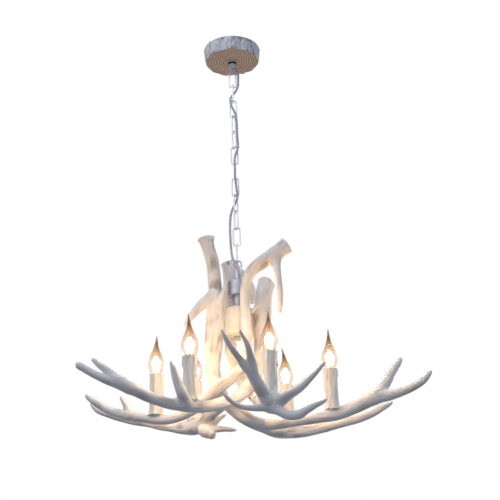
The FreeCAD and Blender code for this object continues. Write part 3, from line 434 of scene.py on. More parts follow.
def to_piece_mesh(piece):
    """Replaces the piece's mesh with what its modifiers make of it."""
    view = bpy.context.evaluated_depsgraph_get()
    made = bpy.data.meshes.new_from_object(piece.evaluated_get(view))
    piece.modifiers.clear()
    piece.data = made
    return made


# ---------------- the antlers
HUB_MIDDLE = -697.0
WEB = 12.0
ANTLERS = {
    "antler_right": [
        [(-69.5, -14, 199, 18), (-69, -14, 196, 18), (-67.5, -13, 188, 16), (-64, -12, 174, 15),
         (-58, -8, 153, 14.5), (-54, -4, 128, 14.5), (-52, 0, 100, 15), (-51, 0, 70, 16),
         (-51, 0, 37, 18), (-53, 0, -3, 20.5), (-57, 0, -42, 20.5), (-60, -2, -76, 18.5),
         (-59, -4, -108, 16), (-53, -5, -138, 15), (-41, -5, -165, 14.5), (-24, -4, -187, 14),
         (-3, 0, -205, 14.5), (18, 0, -219, 14.5), (43, 0, -228, 12.5), (75, 1, -229, 11),
         (113, 3, -224, 10.5), (156, 4, -218, 11.8), (195, 4, -212, 12.8), (230, 4, -202, 14),
         (261, 2, -189, 15.5), (289, -2, -178, 15), (316, -8, -176, 12), (341, -16, -172, 10),
         (367, -24, -164, 9), (388, -30, -153, 7.5), (402, -33, -139, 5.5), (408, -34, -132, 3)],
        [(-59, -4, 62, 13), (-78, -18, 41, 12), (-94, -30, 20, 9.5), (-104, -40, 3, 7), (-117, -52, -23, 3)],
        [(-47, -7, 34, 10), (-42, -15, 46, 7.5), (-36, -19, 58, 6), (-30, -21, 74, 4.5), (-27, -22, 88, 3.5),
         (-25, -22, 96, 2)],
        [(284, -2, -176, 14), (309, 4, -151, 12), (329, 12, -120, 9.5), (346, 20, -97, 7), (354, 24, -85, 3)],
    ],
    "antler_left": [
        [(112, -62, 156, 16.5), (106, -62, 152, 17.5), (90, -60, 141, 16), (69, -58, 127, 15.8),
         (50, -56, 116, 15), (34, -52, 104, 13.5), (21, -47, 85, 12),
         (16, -42, 57, 11.5), (15, -40, 21, 11.5), (15, -40, -18, 12), (17, -41, -55, 12.5),
         (17, -42, -86, 13), (7, -42, -112, 13), (-20, -39, -134, 13), (-48, -34, -155, 13),
         (-79, -23, -177, 13), (-109, -14, -197, 12), (-144, -7, -210, 11), (-183, -1, -210, 10.5),
         (-223, 9, -201, 9.7), (-261, 22, -190, 10), (-299, 40, -171, 9.5), (-322, 46, -155, 8.5),
         (-338, 49, -143, 6), (-345, 50, -137, 3)],
        [(84, -60, 132, 14), (87, -64, 112, 9.5), (89, -68, 90, 7.3), (91, -70, 66, 6.5), (92, -72, 39, 6.5),
         (91, -72, 14, 5.5), (88, -72, -5, 3)],
        [(-236, 14, -199, 13), (-244, 15, -183, 8.5), (-251, 14, -171, 6.5), (-257, 13, -161, 5),
         (-262, 12, -152, 3)],
    ],
    "antler_near_left": [
        [(65, 38, 106, 16.5), (63, 36, 102, 18.5), (60, 32, 92, 17.5), (58, 26, 77, 17),
         (54, 14, 47, 19), (51, 4, 8, 20.5), (51, 2, -29, 20), (48, 0, -68, 18.5),
         (40, -6, -104, 16.5), (26, -17, -135, 15), (6, -37, -165, 14), (-18, -66, -189, 13),
         (-46, -98, -206, 13), (-72, -138, -218, 12.7), (-98, -164, -222, 13), (-136, -187, -222, 11.5),
         (-178, -204, -211, 11), (-212, -218, -195, 12), (-234, -225, -186, 12), (-255, -231, -182, 9),
         (-278, -238, -172, 7.5), (-297, -241, -161, 7.5), (-310, -243, -153, 7), (-315, -243, -148, 4.5)],
        [(60, 26, 86, 13), (55, 10, 67, 10.5), (47, -7, 47, 7.5), (38, -20, 28, 5), (28, -29, 11, 2)],
        [(-214, -219, -196, 8), (-232, -225, -182, 9.5), (-247, -229, -170, 8.7), (-259, -232, -160, 7.5),
         (-272, -236, -151, 5.8), (-281, -238, -143, 4.5), (-286, -239, -140, 3)],
        [(-104, -171, -221, 12), (-111, -191, -207, 11.5), (-117, -195, -191, 10.5), (-123, -198, -174, 8.5),
         (-128, -200, -156, 6.5), (-132, -201, -143, 3.5), (-133, -202, -139, 2)],
    ],
    "antler_near_right": [
        [(-21, 61, 167, 16), (-20, 61, 162, 19.5), (-18, 60, 150, 19), (-16, 58, 130, 19.5),
         (-16, 52, 99, 19), (-18, 45, 60, 17), (-19, 42, 16, 15), (-21, 41, -26, 13.5),
         (-19, 40, -61, 13.5), (-11, 37, -92, 13), (2, 30, -124, 13), (17, 18, -149, 13),
         (31, -13, -172, 13.5), (43, -70, -194, 13.5), (53, -134, -214, 15), (64, -178, -226, 17.5),
         (81, -191, -224, 14), (99, -206, -217, 10.5), (121, -219, -207, 8.5), (138, -229, -194, 7),
         (155, -237, -180, 5), (167, -242, -168, 3.5), (172, -245, -164, 2)],
        [(64, -180, -232, 12), (78, -190, -245, 9.5), (97, -196, -255, 9.5), (117, -201, -256, 9),
         (132, -206, -249, 7.5), (148, -211, -242, 6), (162, -216, -237, 4.5), (173, -220, -231, 2)],
        [(60, -182, -233, 10.5), (39, -192, -238, 7.5), (22, -201, -240, 6), (4, -210, -238, 5.5),
         (-11, -218, -232, 5), (-22, -225, -223, 4.5), (-29, -230, -213, 2)],
        [(66, -174, -238, 9), (60, -182, -225, 14), (46, -200, -208, 13.5), (35, -216, -189, 12.5),
         (26, -230, -174, 11), (14, -240, -164, 9), (3, -252, -150, 7.5), (-8, -264, -137, 6.5),
         (-17, -274, -124, 5.5), (-24, -282, -112, 3.5), (-28, -287, -104, 2)],
        [(-12, 60, 142, 17), (2, 63, 135, 15.5), (17, 66, 118, 13.5), (27, 66, 100, 11.5), (32, 64, 84, 9),
         (31, 61, 70, 6), (28, 59, 61, 3)],
        [(29, -228, -177, 9.5), (29, -244, -158, 8.5), (25, -256, -144, 7), (21, -266, -130, 5.5),
         (14, -275, -118, 4), (9, -282, -109, 3), (6, -286, -105, 2)],
    ],
    "antler_far_right": [
        [(-27, 25, -171, 12.5), (-22, 25, -177, 14.5), (-12, 26, -188, 14), (4, 30, -203, 14),
         (23, 44, -214, 13.5), (47, 72, -219, 13.5), (73, 114, -218, 15.5), (100, 162, -209, 17.5),
         (137, 184, -205, 15.5), (180, 196, -197, 12.5), (222, 206, -186, 11.5), (263, 213, -175, 10.5),
         (297, 217, -163, 9.5), (322, 219, -150, 8), (341, 220, -141, 5.5), (350, 220, -136, 3)],
    ],
    "antler_far_left": [
        [(-18, 36, -166, 9.5), (-33, 54, -167, 11.5), (-52, 74, -171, 12.5), (-75, 104, -181, 14.5),
         (-96, 144, -192, 17.5), (-110, 165, -192, 18.5), (-140, 186, -188, 16), (-176, 200, -181, 12),
         (-214, 206, -171, 11), (-252, 208, -163, 10.5), (-289, 208, -153, 10.5), (-320, 207, -143, 9.5),
         (-341, 206, -134, 8), (-354, 205, -123, 5), (-358, 205, -118, 3)],
        [(-66, 91, -230, 7.5), (-70, 95, -227, 9), (-79, 104, -219, 12.5), (-94, 130, -202, 14.5)],
        [(-85, 112, -214, 11), (-61, 112, -211, 8), (-41, 112, -211, 6), (-25, 112, -213, 5),
         (-14, 112, -214, 2)],
        [(-88, 118, -208, 11), (-68, 118, -198, 7), (-52, 117, -185, 5.5), (-41, 117, -177, 4),
         (-37, 117, -172, 2)],
    ],
}
# branches that begin at a cut or cast burr, with how strongly it flares
BURRS = {("antler_right", 0): 1.0, ("antler_left", 0): 1.0, ("antler_near_left", 0): 1.0,
         ("antler_near_right", 0): 1.0, ("antler_far_left", 1): 0.3, ("antler_far_right", 0): 0.3}
# antler, beam round, and the way the bulb's bent tail points in degrees
CANDLES = [("antler_left", 18, 80), ("antler_near_left", 14, 250), ("antler_far_left", 5, 120),
           ("antler_near_right", 15, 95), ("antler_far_right", 7, 185), ("antler_right", 22, 265)]
SEAT_DEPTH, SLEEVE_HEIGHT, HOLDER_DROP = 2.5, 92.0, 6.0
# the branches' runs are numbered this far apart, and points are handled so many at a time
BRANCH_RUN, BATCH = 2000, 4000


def smooth_branch(rounds, step=2.6):
    """Points and radii at even steps along a cubic through the rounds, whose end slopes in each span
    come from the neighbours, weighted by the root of the spans' lengths."""
    given = np.asarray(rounds, float)
    given = np.vstack([2 * given[0] - given[1], given, 2 * given[-1] - given[-2]])
    p, q, r, s = given[:-3], given[1:-2], given[2:-1], given[3:]
    u, v, w = (np.sqrt(np.linalg.norm((b - a)[:, :3], axis=1))[:, None, None]
               for a, b in ((p, q), (q, r), (r, s)))
    a, b, c, d = (g[:, None] for g in (p, q, r, s))
    leave = v * ((b - a) / u - (c - a) / (u + v) + (c - b) / v)
    arrive = v * ((c - b) / v - (d - b) / (v + w) + (d - c) / w)
    t = np.linspace(0, 1, 16, endpoint=False)[None, :, None]
    curve = (b * (1 + 2 * t) * (1 - t) ** 2 + leave * t * (1 - t) ** 2 + c * t * t * (3 - 2 * t)
             + arrive * t * t * (t - 1)).reshape(-1, 4)
    curve = np.vstack([curve, given[-2]])
    reach = distance_along(curve[:, :3])
    even = np.linspace(0, reach[-1], max(8, int(reach[-1] / step)))
    return np.stack([np.interp(even, reach, curve[:, k]) for k in range(4)], -1), even


def branch_skin(rounds, seed, burr):
    """One branch as rings. The radius carries grooves that run along it and fade to the tip, low
    lumps, beads near the burr, and the burr's knobbly collar."""
    path, run = smooth_branch(rounds)
    line, base = path[:, :3], path[:, 3]
    columns = 56
    angle = round_angles(columns)[None, :]
    s = run[:, None]
    full = run[-1]
    ring = around(angle, base[:, None], s)
    rough = np.clip(base[:, None] / 14, 0.15, 1.2)
    tip = 1 - np.clip((s - full * 0.55) / (full * 0.4), 0, 1) ** 1.5
    drift = 0.35 * np.sin(s / 61 + seed) + 0.2 * np.sin(s / 27 + 2 * seed)
    lines = np.cos(angle * 9 + drift * 9 + 1.3 * waves(ring, 60, seed + 1))
    lines2 = np.cos(angle * 15 + drift * 15 + 1.6 * waves(ring, 45, seed + 2))
    valley = np.clip(-lines - 0.35, 0, 1) ** 1.4 + 0.6 * np.clip(-lines2 - 0.5, 0, 1)
    groove = valley * rough * tip * (0.75 + 0.25 * waves(ring, 50, seed + 3))
    lump = 0.55 * waves(ring * (1, 1, 0.6), 30, seed + 4) * rough
    beads = np.clip(waves(ring, 9, seed + 5), 0, 2) ** 1.3 * np.exp(-s / 60) * 0.9 * burr
    radius = base[:, None] - 1.3 * groove + lump + beads
    if burr:
        lip = np.exp(-(((s - 2.4) / 2.0) ** 2)) * (0.8 + 0.4 * waves(ring * (1, 1, 0.3), 9, seed + 6))
        radius = radius + burr * (2.9 * lip - 0.8 * np.exp(-((s / 1.0) ** 2)))
    # round the tip off
    rounded = np.sqrt(np.clip((full - s) / np.maximum(base[-1] * 1.2, 0.5), 0.12, 1.0))
    points = tube_points(line, radius * rounded, columns)
    points[:, 2] += HUB_MIDDLE
    return points, tube_faces(len(line), columns), line, base * rounded[:, 0], run


def candle_place(owner, index):
    """Where a candle stands: x, y, the beam's radius there, and the height of its seat."""
    x, y, z, radius = ANTLERS[owner][0][index]
    return x, y, radius, HUB_MIDDLE + z + radius - SEAT_DEPTH


def gaps(points, table):
    """Distance from each point to the skin of each ball (middle in columns 0 to 2, radius in 12)."""
    return np.linalg.norm(points[:, None] - table[None, :, :3], axis=2) - table[None, :, 12]


def antler(name, seed):
    """All branches and candle bosses of one antler, merged into one skin by a voxel remesh. Each point
    then takes its place along and round the nearest branch as the attribute grain, and its depth
    below that branch's plain radius as the attribute groove."""
    points, faces, centres = [], [], []
    for k, rounds in enumerate(ANTLERS[name]):
        p, f, line, base, run = branch_skin(rounds, seed + 10 * k, BURRS.get((name, k), 0.0))
        shift = sum(len(q) for q in points)
        points.append(p)
        faces += [[i + shift for i in face] for face in f]
        tangent, across, over = frames(line)
        centres.append(np.column_stack([line + (0, 0, HUB_MIDDLE), tangent, across, over, base,
                                        run + BRANCH_RUN * k]))
    for owner, index, _ in CANDLES:
        if owner == name:
            x, y, radius, seat = candle_place(name, index)
            share = np.array([0, 0.35, 0.6, 0.8, 0.93, 1.0])
            rise = (share - 1) * (0.9 * radius - SEAT_DEPTH)
            wide = 0.8 * radius + (17.6 - 0.8 * radius) * share ** 1.6 - np.array([0, 0, 0, 0, 0, 0.6])
            line = np.column_stack([np.full(6, x), np.full(6, y), seat + rise]).astype(float)
            wavy = wide[:, None] + 0.8 * np.sin(5 * round_angles(40) + seed) * share[:, None]
            shift = sum(len(q) for q in points)
            points.append(tube_points(line, wavy, 40))
            faces += [[i + shift for i in face] for face in tube_faces(6, 40)]
    piece = mesh_piece(f"{name}_skin", np.concatenate(points), faces, ANTLER_RESIN, "lamp")
    merge = piece.modifiers.new("merge", "REMESH")
    merge.mode = "VOXEL"
    merge.voxel_size = 1.5 * MM
    soften = piece.modifiers.new("soften", "SMOOTH")
    soften.factor = 0.5
    soften.iterations = 3
    mesh = to_piece_mesh(piece)
    table = np.concatenate(centres)
    starts = np.cumsum([0] + [len(rows) for rows in centres])
    count = len(mesh.vertices)
    place, normal = np.zeros((count, 3), np.float32), np.zeros((count, 3), np.float32)
    mesh.vertices.foreach_get("co", place.ravel())
    mesh.vertex_normals.foreach_get("vector", normal.ravel())
    place = place.astype(float) / MM
    if len(centres) > 1:
        # where two branches meet the skin is raised into a web: (web / 4) (1 - difference / web)^2, with
        # the difference between the distances to the nearest branch and to the second nearest
        for start in range(0, count, BATCH):
            part = place[start:start + BATCH]
            each = np.sort(np.minimum.reduceat(gaps(part, table), starts[:-1], axis=1), axis=1)
            rise = WEB / 4 * np.clip(1 - (each[:, 1] - each[:, 0]) / WEB, 0, 1) ** 2
            place[start:start + BATCH] = part + normal[start:start + BATCH] * rise[:, None]
        mesh.vertices.foreach_set("co", (place * MM).astype(np.float32).ravel())
        mesh.update()
    grain, depth = np.zeros((count, 3)), np.zeros(count)
    for start in range(0, count, BATCH):
        part = place[start:start + BATCH]
        near = table[gaps(part, table).argmin(1)]
        offset = part - near[:, :3]
        side, over = (offset * near[:, 6:9]).sum(1), (offset * near[:, 9:12]).sum(1)
        lengthwise = (offset * near[:, 3:6]).sum(1)
        grain[start:start + BATCH] = np.column_stack([side, over, near[:, 13] + lengthwise])
        under = np.interp(near[:, 13] + lengthwise, table[:, 13], table[:, 12]) - np.hypot(side, over)
        # an end face has no groove
        depth[start:start + BATCH] = under * np.clip((near[:, 13] % BRANCH_RUN + lengthwise) / 1.5, 0, 1)
    write_attribute(mesh, "grain", grain * MM)
    write_attribute(mesh, "groove", np.clip(depth / 1.6, 0, 1))
    mesh.polygons.foreach_set("use_smooth", np.ones(len(mesh.polygons), bool))
    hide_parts(name)
    return piece


# ---------------- candles and bulbs
FLAME = [(0, 0.5), (0.06, 0.62), (0.16, 0.86), (0.28, 1), (0.4, 0.94), (0.52, 0.72), (0.64, 0.45),
         (0.76, 0.26), (0.88, 0.14), (0.96, 0.08), (1, 0.05)]
SLEEVE_RADIUS, BULB_RADIUS, BULB_LENGTH = 14.0, 17.5, 93


def sleeve(number, x, y, seat):
    """A candle sleeve: radius = plain radius + drips, where each drip is a smooth bump round its own
    angle that runs down from the rim to its own length and ends in a thicker bead."""
    rng = np.random.RandomState(40 + number)
    columns, rows = 96, 70
    angle = round_angles(columns)
    height = np.concatenate([np.linspace(0, SLEEVE_HEIGHT - 1.2, rows - 3),
                             [SLEEVE_HEIGHT - 0.5, SLEEVE_HEIGHT - 0.1, SLEEVE_HEIGHT]])
    grid_a, grid_h = angle[None, :], height[:, None]
    pooled = 1 + 0.35 * np.cos(5 * grid_a + number) + 0.25 * np.cos(8 * grid_a + 2 * number)
    radius = SLEEVE_RADIUS + 3.6 * pooled * np.exp(-grid_h / 8.0)
    count = rng.randint(7, 10)
    spots = np.arange(count) * 2 * math.pi / count + rng.uniform(-0.25, 0.25, count)
    for spot in spots:
        length = rng.uniform(16, 78)
        wide = rng.uniform(0.1, 0.2)
        turn = (grid_a - spot - 0.05 * np.sin(grid_h / 9 + spot) + math.pi) % (2 * math.pi) - math.pi
        round_it = np.exp(-((turn / wide) ** 2))
        end = SLEEVE_HEIGHT - length
        run = 1 / (1 + np.exp(-(grid_h - end) / 1.2))
        bead = np.exp(-(((grid_h - end - 2.5) / 3.2) ** 2))
        radius = radius + round_it * (rng.uniform(1.2, 2.2) * run + 1.2 * bead)
    ring = around(grid_a, SLEEVE_RADIUS, grid_h)
    radius = radius + 0.22 * waves(ring, 14, 70 + number)
    radius[-3:] -= np.array([0.15, 0.7, 1.5])[:, None]
    melt = 1.1 * waves(ring, 11, 90 + number) * np.clip((grid_h - SLEEVE_HEIGHT + 6) / 6, 0, 1)
    tall = grid_h + melt
    inner = np.full((2, columns), 12.6)
    radius = np.vstack([radius, inner])
    tall = np.vstack([tall, np.full((1, columns), SLEEVE_HEIGHT - 1.8), np.full((1, columns), 0.0)])
    points = around(angle, radius, seat + tall, x, y).reshape(-1, 3)
    piece = mesh_piece(f"candle_{number}_sleeve", points, net(len(radius), columns, closed_rows=True),
                       WAX_SLEEVE, "lamp")
    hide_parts(f"candle_sleeve_{number}")


def bulb(number, x, y, foot, tip_angle):
    """Flame-shaped glass: radius by share of length along a line whose tail leans to one side, with an
    outer and an inner wall; the attribute tail is that share."""
    body = f"bulb_{number}"
    share, width = np.array(FLAME).T
    slope = np.gradient(width, share)
    u = np.linspace(0, 1, 64)
    at = np.clip(np.searchsorted(share, u, side="right") - 1, 0, len(share) - 2)
    gap = share[at + 1] - share[at]
    t = (u - share[at]) / gap
    wide = BULB_RADIUS * (width[at] * (1 + 2 * t) * (1 - t) ** 2 + slope[at] * gap * t * (1 - t) ** 2
                          + width[at + 1] * t * t * (3 - 2 * t) + slope[at + 1] * gap * t * t * (t - 1))
    lean = 6 * np.clip(u * 2 - 1, 0, 1) ** 2
    way = math.radians(tip_angle)
    line = np.stack([x + lean * math.cos(way), y + lean * math.sin(way), foot + BULB_LENGTH * u], -1)
    inside = slice(1, 52)
    outer = tube_points(line, wide, 48, 0.6)
    inner = tube_points(line[inside], np.maximum(wide - 0.9, 0.3)[inside], 48, 0.3)
    turned_in = [face[::-1] for face in tube_faces(51, 48, len(outer))]
    piece = mesh_piece(f"bulb_{number}_glass", np.concatenate([outer, inner]), tube_faces(64, 48) + turned_in,
                       FLAME_GLASS, body)
    tail = np.concatenate([np.repeat(u, 48), [0, 1], np.repeat(u[inside], 48), [0, 0.8]])
    write_attribute(piece.data, "tail", tail)
    piece.visible_shadow = False
    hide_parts(f"bulb_glass_{number}")

    # cap: rolled thread, insulating ring and contact; the thread is a wave that climbs 2.8 mm a turn
    angle = round_angles(48)[None, :]
    rise = np.concatenate([[0.0, 0.0, 2.0, 2.0], np.linspace(3.4, 22.0, 60), [25.9, 25.9]])[:, None]
    wide = np.concatenate([[0.05, 3.5, 3.5, 5.4], np.full(60, 6.4), [6.8, 0.05]])[:, None]
    thread = 0.45 * np.cos((rise / 2.82) * 2 * math.pi - angle) * ((rise > 3.3) & (rise < 22.1))
    radius = wide + thread
    points = around(angle, radius, foot - 26.0 + rise, x, y).reshape(-1, 3)
    cap = mesh_piece(f"bulb_{number}_cap", points, net(66, 48, closed_rows=True), CAP_METAL, body)
    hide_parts(f"bulb_cap_{number}")

    # glass stem, two lead wires and the coiled filament in its loop
    stem_line = np.array([[x, y, foot + 1.0 + h] for h in np.linspace(0, 44, 16)])
    stem_wide = np.interp(np.linspace(0, 44, 16), [0, 7, 14, 42, 44], [5.5, 3.2, 1.4, 1.2, 2.0])
    stem = mesh_piece(f"bulb_{number}_stem", tube_points(stem_line, stem_wide, 20, 0.5), tube_faces(16, 20),
                      STEM_GLASS, body)
    stem.visible_shadow = False
    # the filament runs up and down round the stem in ten strands, bellied like a cage
    sweep = np.linspace(0, 1, 321)
    round_it = 2 * math.pi * (sweep * 0.92 + 0.04)
    lift = 0.5 - 0.5 * np.cos(10 * math.pi * sweep)
    wide = 2.6 + 4.0 * np.sin(math.pi * lift)
    cage = around(round_it, wide, foot + 14 + 30 * lift, x, y)
    filament = mesh_piece(f"bulb_{number}_filament", tube_points(cage, 0.55, 6), tube_faces(321, 6),
                          HOT_WIRE, body)
    for side in (0, -1):
        lead = np.array([[x, y, foot + 2.0], [x + (cage[side][0] - x) * 0.5, y, foot + 6.0], cage[side]])
        lead = np.stack([np.interp(np.linspace(0, 2, 14), [0, 1, 2], lead[:, k]) for k in range(3)], -1)
        piece = mesh_piece(f"bulb_{number}_lead_{'ab'[side]}", tube_points(lead, 0.3, 8), tube_faces(14, 8),
                           NICKEL, body)


# ---------------- chain and cable
CHAIN_TURNS = [0, 90, 0, 60, 120, 180, 90, 0, 60, 120, 180, 90]
# a hinge lies that drop below halfway between two links' middles
PITCH, FIRST_MIDDLE, HINGE_DROP = 41.1, -80.4, 1.95
LINK_HEIGHT, LINK_WIDTH, LINK_FLAT, LINK_WIRE, WELD_BEAD = 45, 15.4, 4, 3.6, 0.25
CABLE_RADIUS, CABLE_STEP, CORE_RADIUS = 2.75, 1.6, 1.1
CABLE_TOP = [(0, 0, -5.5), (0.3, 0, -21.5), (0, 0, -41), (6, 0, -49), (12.5, 0, -57.5)]
CHAIN_POINTS = [
    (14.2, 0.5, -0.23), (13.4, 0.8, 0.16), (13, 0.3, 0.51), (5.3, 0, 0.87), (-5.5, -0.8, 1.21),
    (-6.8, -5.7, 1.49), (-4, -5.9, 1.89), (3, -5.7, 2.23), (6.4, -5.5, 2.59), (7.4, -1.8, 2.98),
    (7.4, -1.2, 3.44), (7.7, -1.6, 3.91), (9.2, -4.2, 4.31), (8.8, -6.2, 4.61), (2.5, -5.8, 4.95),
    (0, -6.4, 5.26), (0.1, -13.2, 5.5), (0.4, -13.6, 5.88), (0, -13.4, 6.27), (0.3, -13.1, 6.52),
    (1.5, -6, 6.81), (2.6, -5.6, 7.19), (4.8, -6, 7.54), (2.6, -2.4, 7.8), (-3.2, 1.2, 8.06),
    (-8.6, 3, 8.3), (-12.6, 3, 8.63), (-14.6, 2, 9.09), (-15.1, 1, 9.6), (-14.7, 0, 10.14),
    (-13.8, -1.6, 10.65), (-12.2, -5.2, 11.11), (-9, -9.6, 11.52), (-3, -12.8, 11.89), (4, -14.6, 12.23),
]
CABLE_FOOT = [(7.05, -13.9, -595.9), (7.05, -13.9, -610.9)]


def spline_points(name, route):
    """Points along a smooth spline whose control points are the route's."""
    curve = bpy.data.curves.new(name, "CURVE")
    curve.dimensions = "3D"
    curve.resolution_u = 10
    spline = curve.splines.new("NURBS")
    spline.points.add(len(route) - 1)
    spline.points.foreach_set("co", np.column_stack([np.asarray(route, float), np.ones(len(route))]).ravel())
    spline.order_u = 3
    spline.use_endpoint_u = True
    holder = bpy.data.objects.new(name, curve)
    bpy.context.scene.collection.objects.link(holder)
    mesh = bpy.data.meshes.new_from_object(holder.evaluated_get(bpy.context.evaluated_depsgraph_get()))
    line = np.zeros(len(mesh.vertices) * 3)
    mesh.vertices.foreach_get("co", line)
    bpy.data.objects.remove(holder)
    bpy.data.meshes.remove(mesh)
    bpy.data.curves.remove(curve)
    return line.reshape(-1, 3)


def cable():
    """The sheathed cable down the chain, a tube round its spline. It is cut at the chain's hinges, and each
    stretch rides one link. Its lower end runs on inside the next stretch, a little thinner with each ring,
    so that no gap opens where the chain bends."""
    route = CABLE_TOP + [(x, y, FIRST_MIDDLE - PITCH * place) for x, y, place in CHAIN_POINTS] + CABLE_FOOT
    line = spline_points("cable_route", route)
    run = distance_along(line)
    even = np.linspace(0, run[-1], int(run[-1] / CABLE_STEP))
    line = np.stack([np.interp(even, run, line[:, k]) for k in range(3)], -1)
    columns = 18
    rings = tube_points(line, CABLE_RADIUS, columns)[:-2].reshape(len(line), columns, 3)
    grain = around(round_angles(columns), CABLE_RADIUS, even[:, None])
    hinges = [FIRST_MIDDLE + PITCH / 2 - HINGE_DROP - PITCH * k for k in range(13)]
    cuts = [0] + [int(np.argmax(line[:, 2] < z)) for z in hinges] + [len(line) - 1]
    owners = ["ceiling_part"] + [f"link_{k:02d}" for k in range(1, 13)] + ["lamp"]
    first = None
    for k, (start, stop) in enumerate(zip(cuts, cuts[1:])):
        reach = min(stop + 2, len(line) - 1)
        middle = line[start:reach + 1, None]
        width = np.interp(np.arange(start, reach + 1), [stop, stop + 2], [1, 0.85])[:, None, None]
        part = middle + (rings[start:reach + 1] - middle) * width
        piece = mesh_piece(f"cable_{k:02d}", np.concatenate([part.reshape(-1, 3), line[[start, reach]]]),
                           tube_faces(len(part), columns), CABLE, owners[k])
        ends = [[0, 0, even[start]], [0, 0, even[reach]]]
        run_here = np.concatenate([grain[start:reach + 1].reshape(-1, 3), ends])
        write_attribute(piece.data, "grain", run_here * MM)
        first = first or piece
    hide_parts("cable")
    poles = [-15.58, -23.5, -31.42]
    for i, (x, material) in enumerate(zip(poles, (CORE_BROWN, CORE_BLUE, CORE_GREEN))):
        route = [(0.6 * (1 - i), 0.5, -10.5), (0.6 * (1 - i), 0, -4), (x * 0.45, -6.3, -2 - i * 0.2),
                 (x, -15, -7.5), (x, -14.5, -15.5), (x, -5, -15.5)]
        core = spline_points(f"core_{i}", route)
        piece = mesh_piece(f"cable_core_{i}", tube_points(core, CORE_RADIUS, 12), tube_faces(len(core), 12),
                           material, "ceiling_part")


# ---------------- canopy
CANOPY_DEPTH, CANOPY_RADIUS = 33, 66


def canopy():
    """The hollowed trunk slice. Bark side: radius = taper + cracked ridges; sawn floor and hollow."""
    columns = 240
    angle = round_angles(columns)[None, :]
    height = np.concatenate([[0.0, 0.4, 1.2], np.linspace(2.5, 30.5, 24), [32.0, 32.7, CANOPY_DEPTH]])
    base = np.interp(height, [0, 1.5, 18, CANOPY_DEPTH], [64.0, 64.6, 66.9, 68.0])
    ring = around(angle, CANOPY_RADIUS, height[:, None] * 0.4)
    ridges = 1 - np.abs(waves(ring, 15, 5)) * 1.6
    rough = (0.9 * np.clip(ridges, -1.2, 1) + 0.5 * waves(ring * (1, 1, 2), 6, 6) + 0.9 * waves(ring, 60, 7)
             - 3.6 * np.abs(np.cos(3.5 * angle + 0.8)) ** 0.7 + 1.1 * np.cos(9 * angle + 1.7) + 1.9)
    soften = np.clip(np.minimum(height, CANOPY_DEPTH - height) / 1.5, 0.25, 1)[:, None]
    radius = base[:, None] + rough * soften - 0.6
    radius[[0, -1]] -= 1.2
    # the sawn lower edge wanders, more where the bark has broken off
    dip = 2.4 * waves(ring[:1], 20, 9) * np.clip(1 - height / 12, 0, 1)[:, None]
    points = around(angle, radius, height[:, None] - CANOPY_DEPTH + np.maximum(dip, 0))
    side = mesh_piece("canopy_bark", points.reshape(-1, 3), net(len(height), columns), BARK, "ceiling_part")
    # sawn faces: from the bark's lower edge in to the hole, up the hole, across the hollow's floor, up
    # its wall and out over the rim to the bark's upper edge
    inner = [(40.0, -33.0), (20.0, -33.0), (5.4, -33.0), (5.1, -32.7), (5.1, -22.3), (5.4, -22.0),
             (30.0, -22.0), (54.0, -22.0), (55.0, -21.0), (55.0, -1.0), (56.0, 0.0)]
    grid = np.stack([points[0], *(around(angle[0], r, z) for r, z in inner), points[-1]])
    grid[1:3, :, 2] += 0.12 * waves(grid[1:3], 9, 8)
    faces = [face[::-1] for face in net(len(grid), columns)]
    wood = mesh_piece("canopy_wood", grid.reshape(-1, 3), faces, SAWN_WOOD, "ceiling_part")
    edge = wood.modifiers.new("edge", "BEVEL")
    edge.width = 0.3 * MM
    edge.segments = 2
    edge.limit_method = "ANGLE"
    edge.angle_limit = math.radians(50)
    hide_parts("canopy")


# ---------------- build
look((0.056, -2.298, -1.439), 21.69, -1.83, 0.67, 1092)

ANTLER_RESIN, HUB_RESIN, WAX_SLEEVE = antler_resin(), hub_resin(), wax_sleeve()
ZINC = metal("zinc_plated_steel", "#b9bbbd", 0.36)
NICKEL = metal("nickel_plated_wire", "#d0d0da", 0.34, 2.0, 0.03)
GREY_METAL = metal("satin_nickel_casting", "#c2c2cc", 0.36)
DARK_METAL = metal("satin_nickel_pressing", "#b4b5c2", 0.42, dark=0.78)
LOOP_HOLDER = loop_holder()
WHITE_METAL = metal("white_enamelled_steel", "#e9e7e2", 0.35, metallic=0.0, dark=0.94)
BRASS = metal("turned_brass", "#c9a95f", 0.3)
CAP_METAL = metal("rolled_lamp_cap_nickel", "#cfccc4", 0.28)
HOLDER = plastic("moulded_lamp_holder_white", "#efece4", "#e2ddd2", 0.4)
BLOCK = plastic("moulded_terminal_block_natural", "#eeeee8", "#dddcd4", 0.3)
BUSHING = plastic("moulded_bushing_white", "#ecebe6", "#dedcd5", 0.4)
CORE_BROWN = plastic("core_insulation_brown", "#6b3f22", "#5a341c", 0.4)
CORE_BLUE = plastic("core_insulation_blue", "#2f5fae", "#28529a", 0.4)
CORE_GREEN = plastic("core_insulation_green", "#5f9a3c", "#c9cc3a", 0.4)
BARK, SAWN_WOOD = bark(), sawn_wood()
CABLE, FLAME_GLASS, HOT_WIRE = cable_sheath(), flame_glass(), hot_wire()
STEM_GLASS = glaze("drawn_stem_glass", "#f3f6f4")

for seed, name in enumerate(ANTLERS):
    antler(name, 100 * (seed + 1))

for number, (owner, index, tip_angle) in enumerate(CANDLES, start=1):
    x, y, _, seat = candle_place(owner, index)
    sleeve(number, x, y, seat)
    foot = seat + SLEEVE_HEIGHT - HOLDER_DROP + 0.3
    bulb(number, x, y, foot, tip_angle)
    lamp(f"glow_{number}", "POINT", (x * MM, y * MM, (foot + 30) * MM), 0.8, (1.0, 0.66, 0.34),
         shadow_soft_size=0.012)

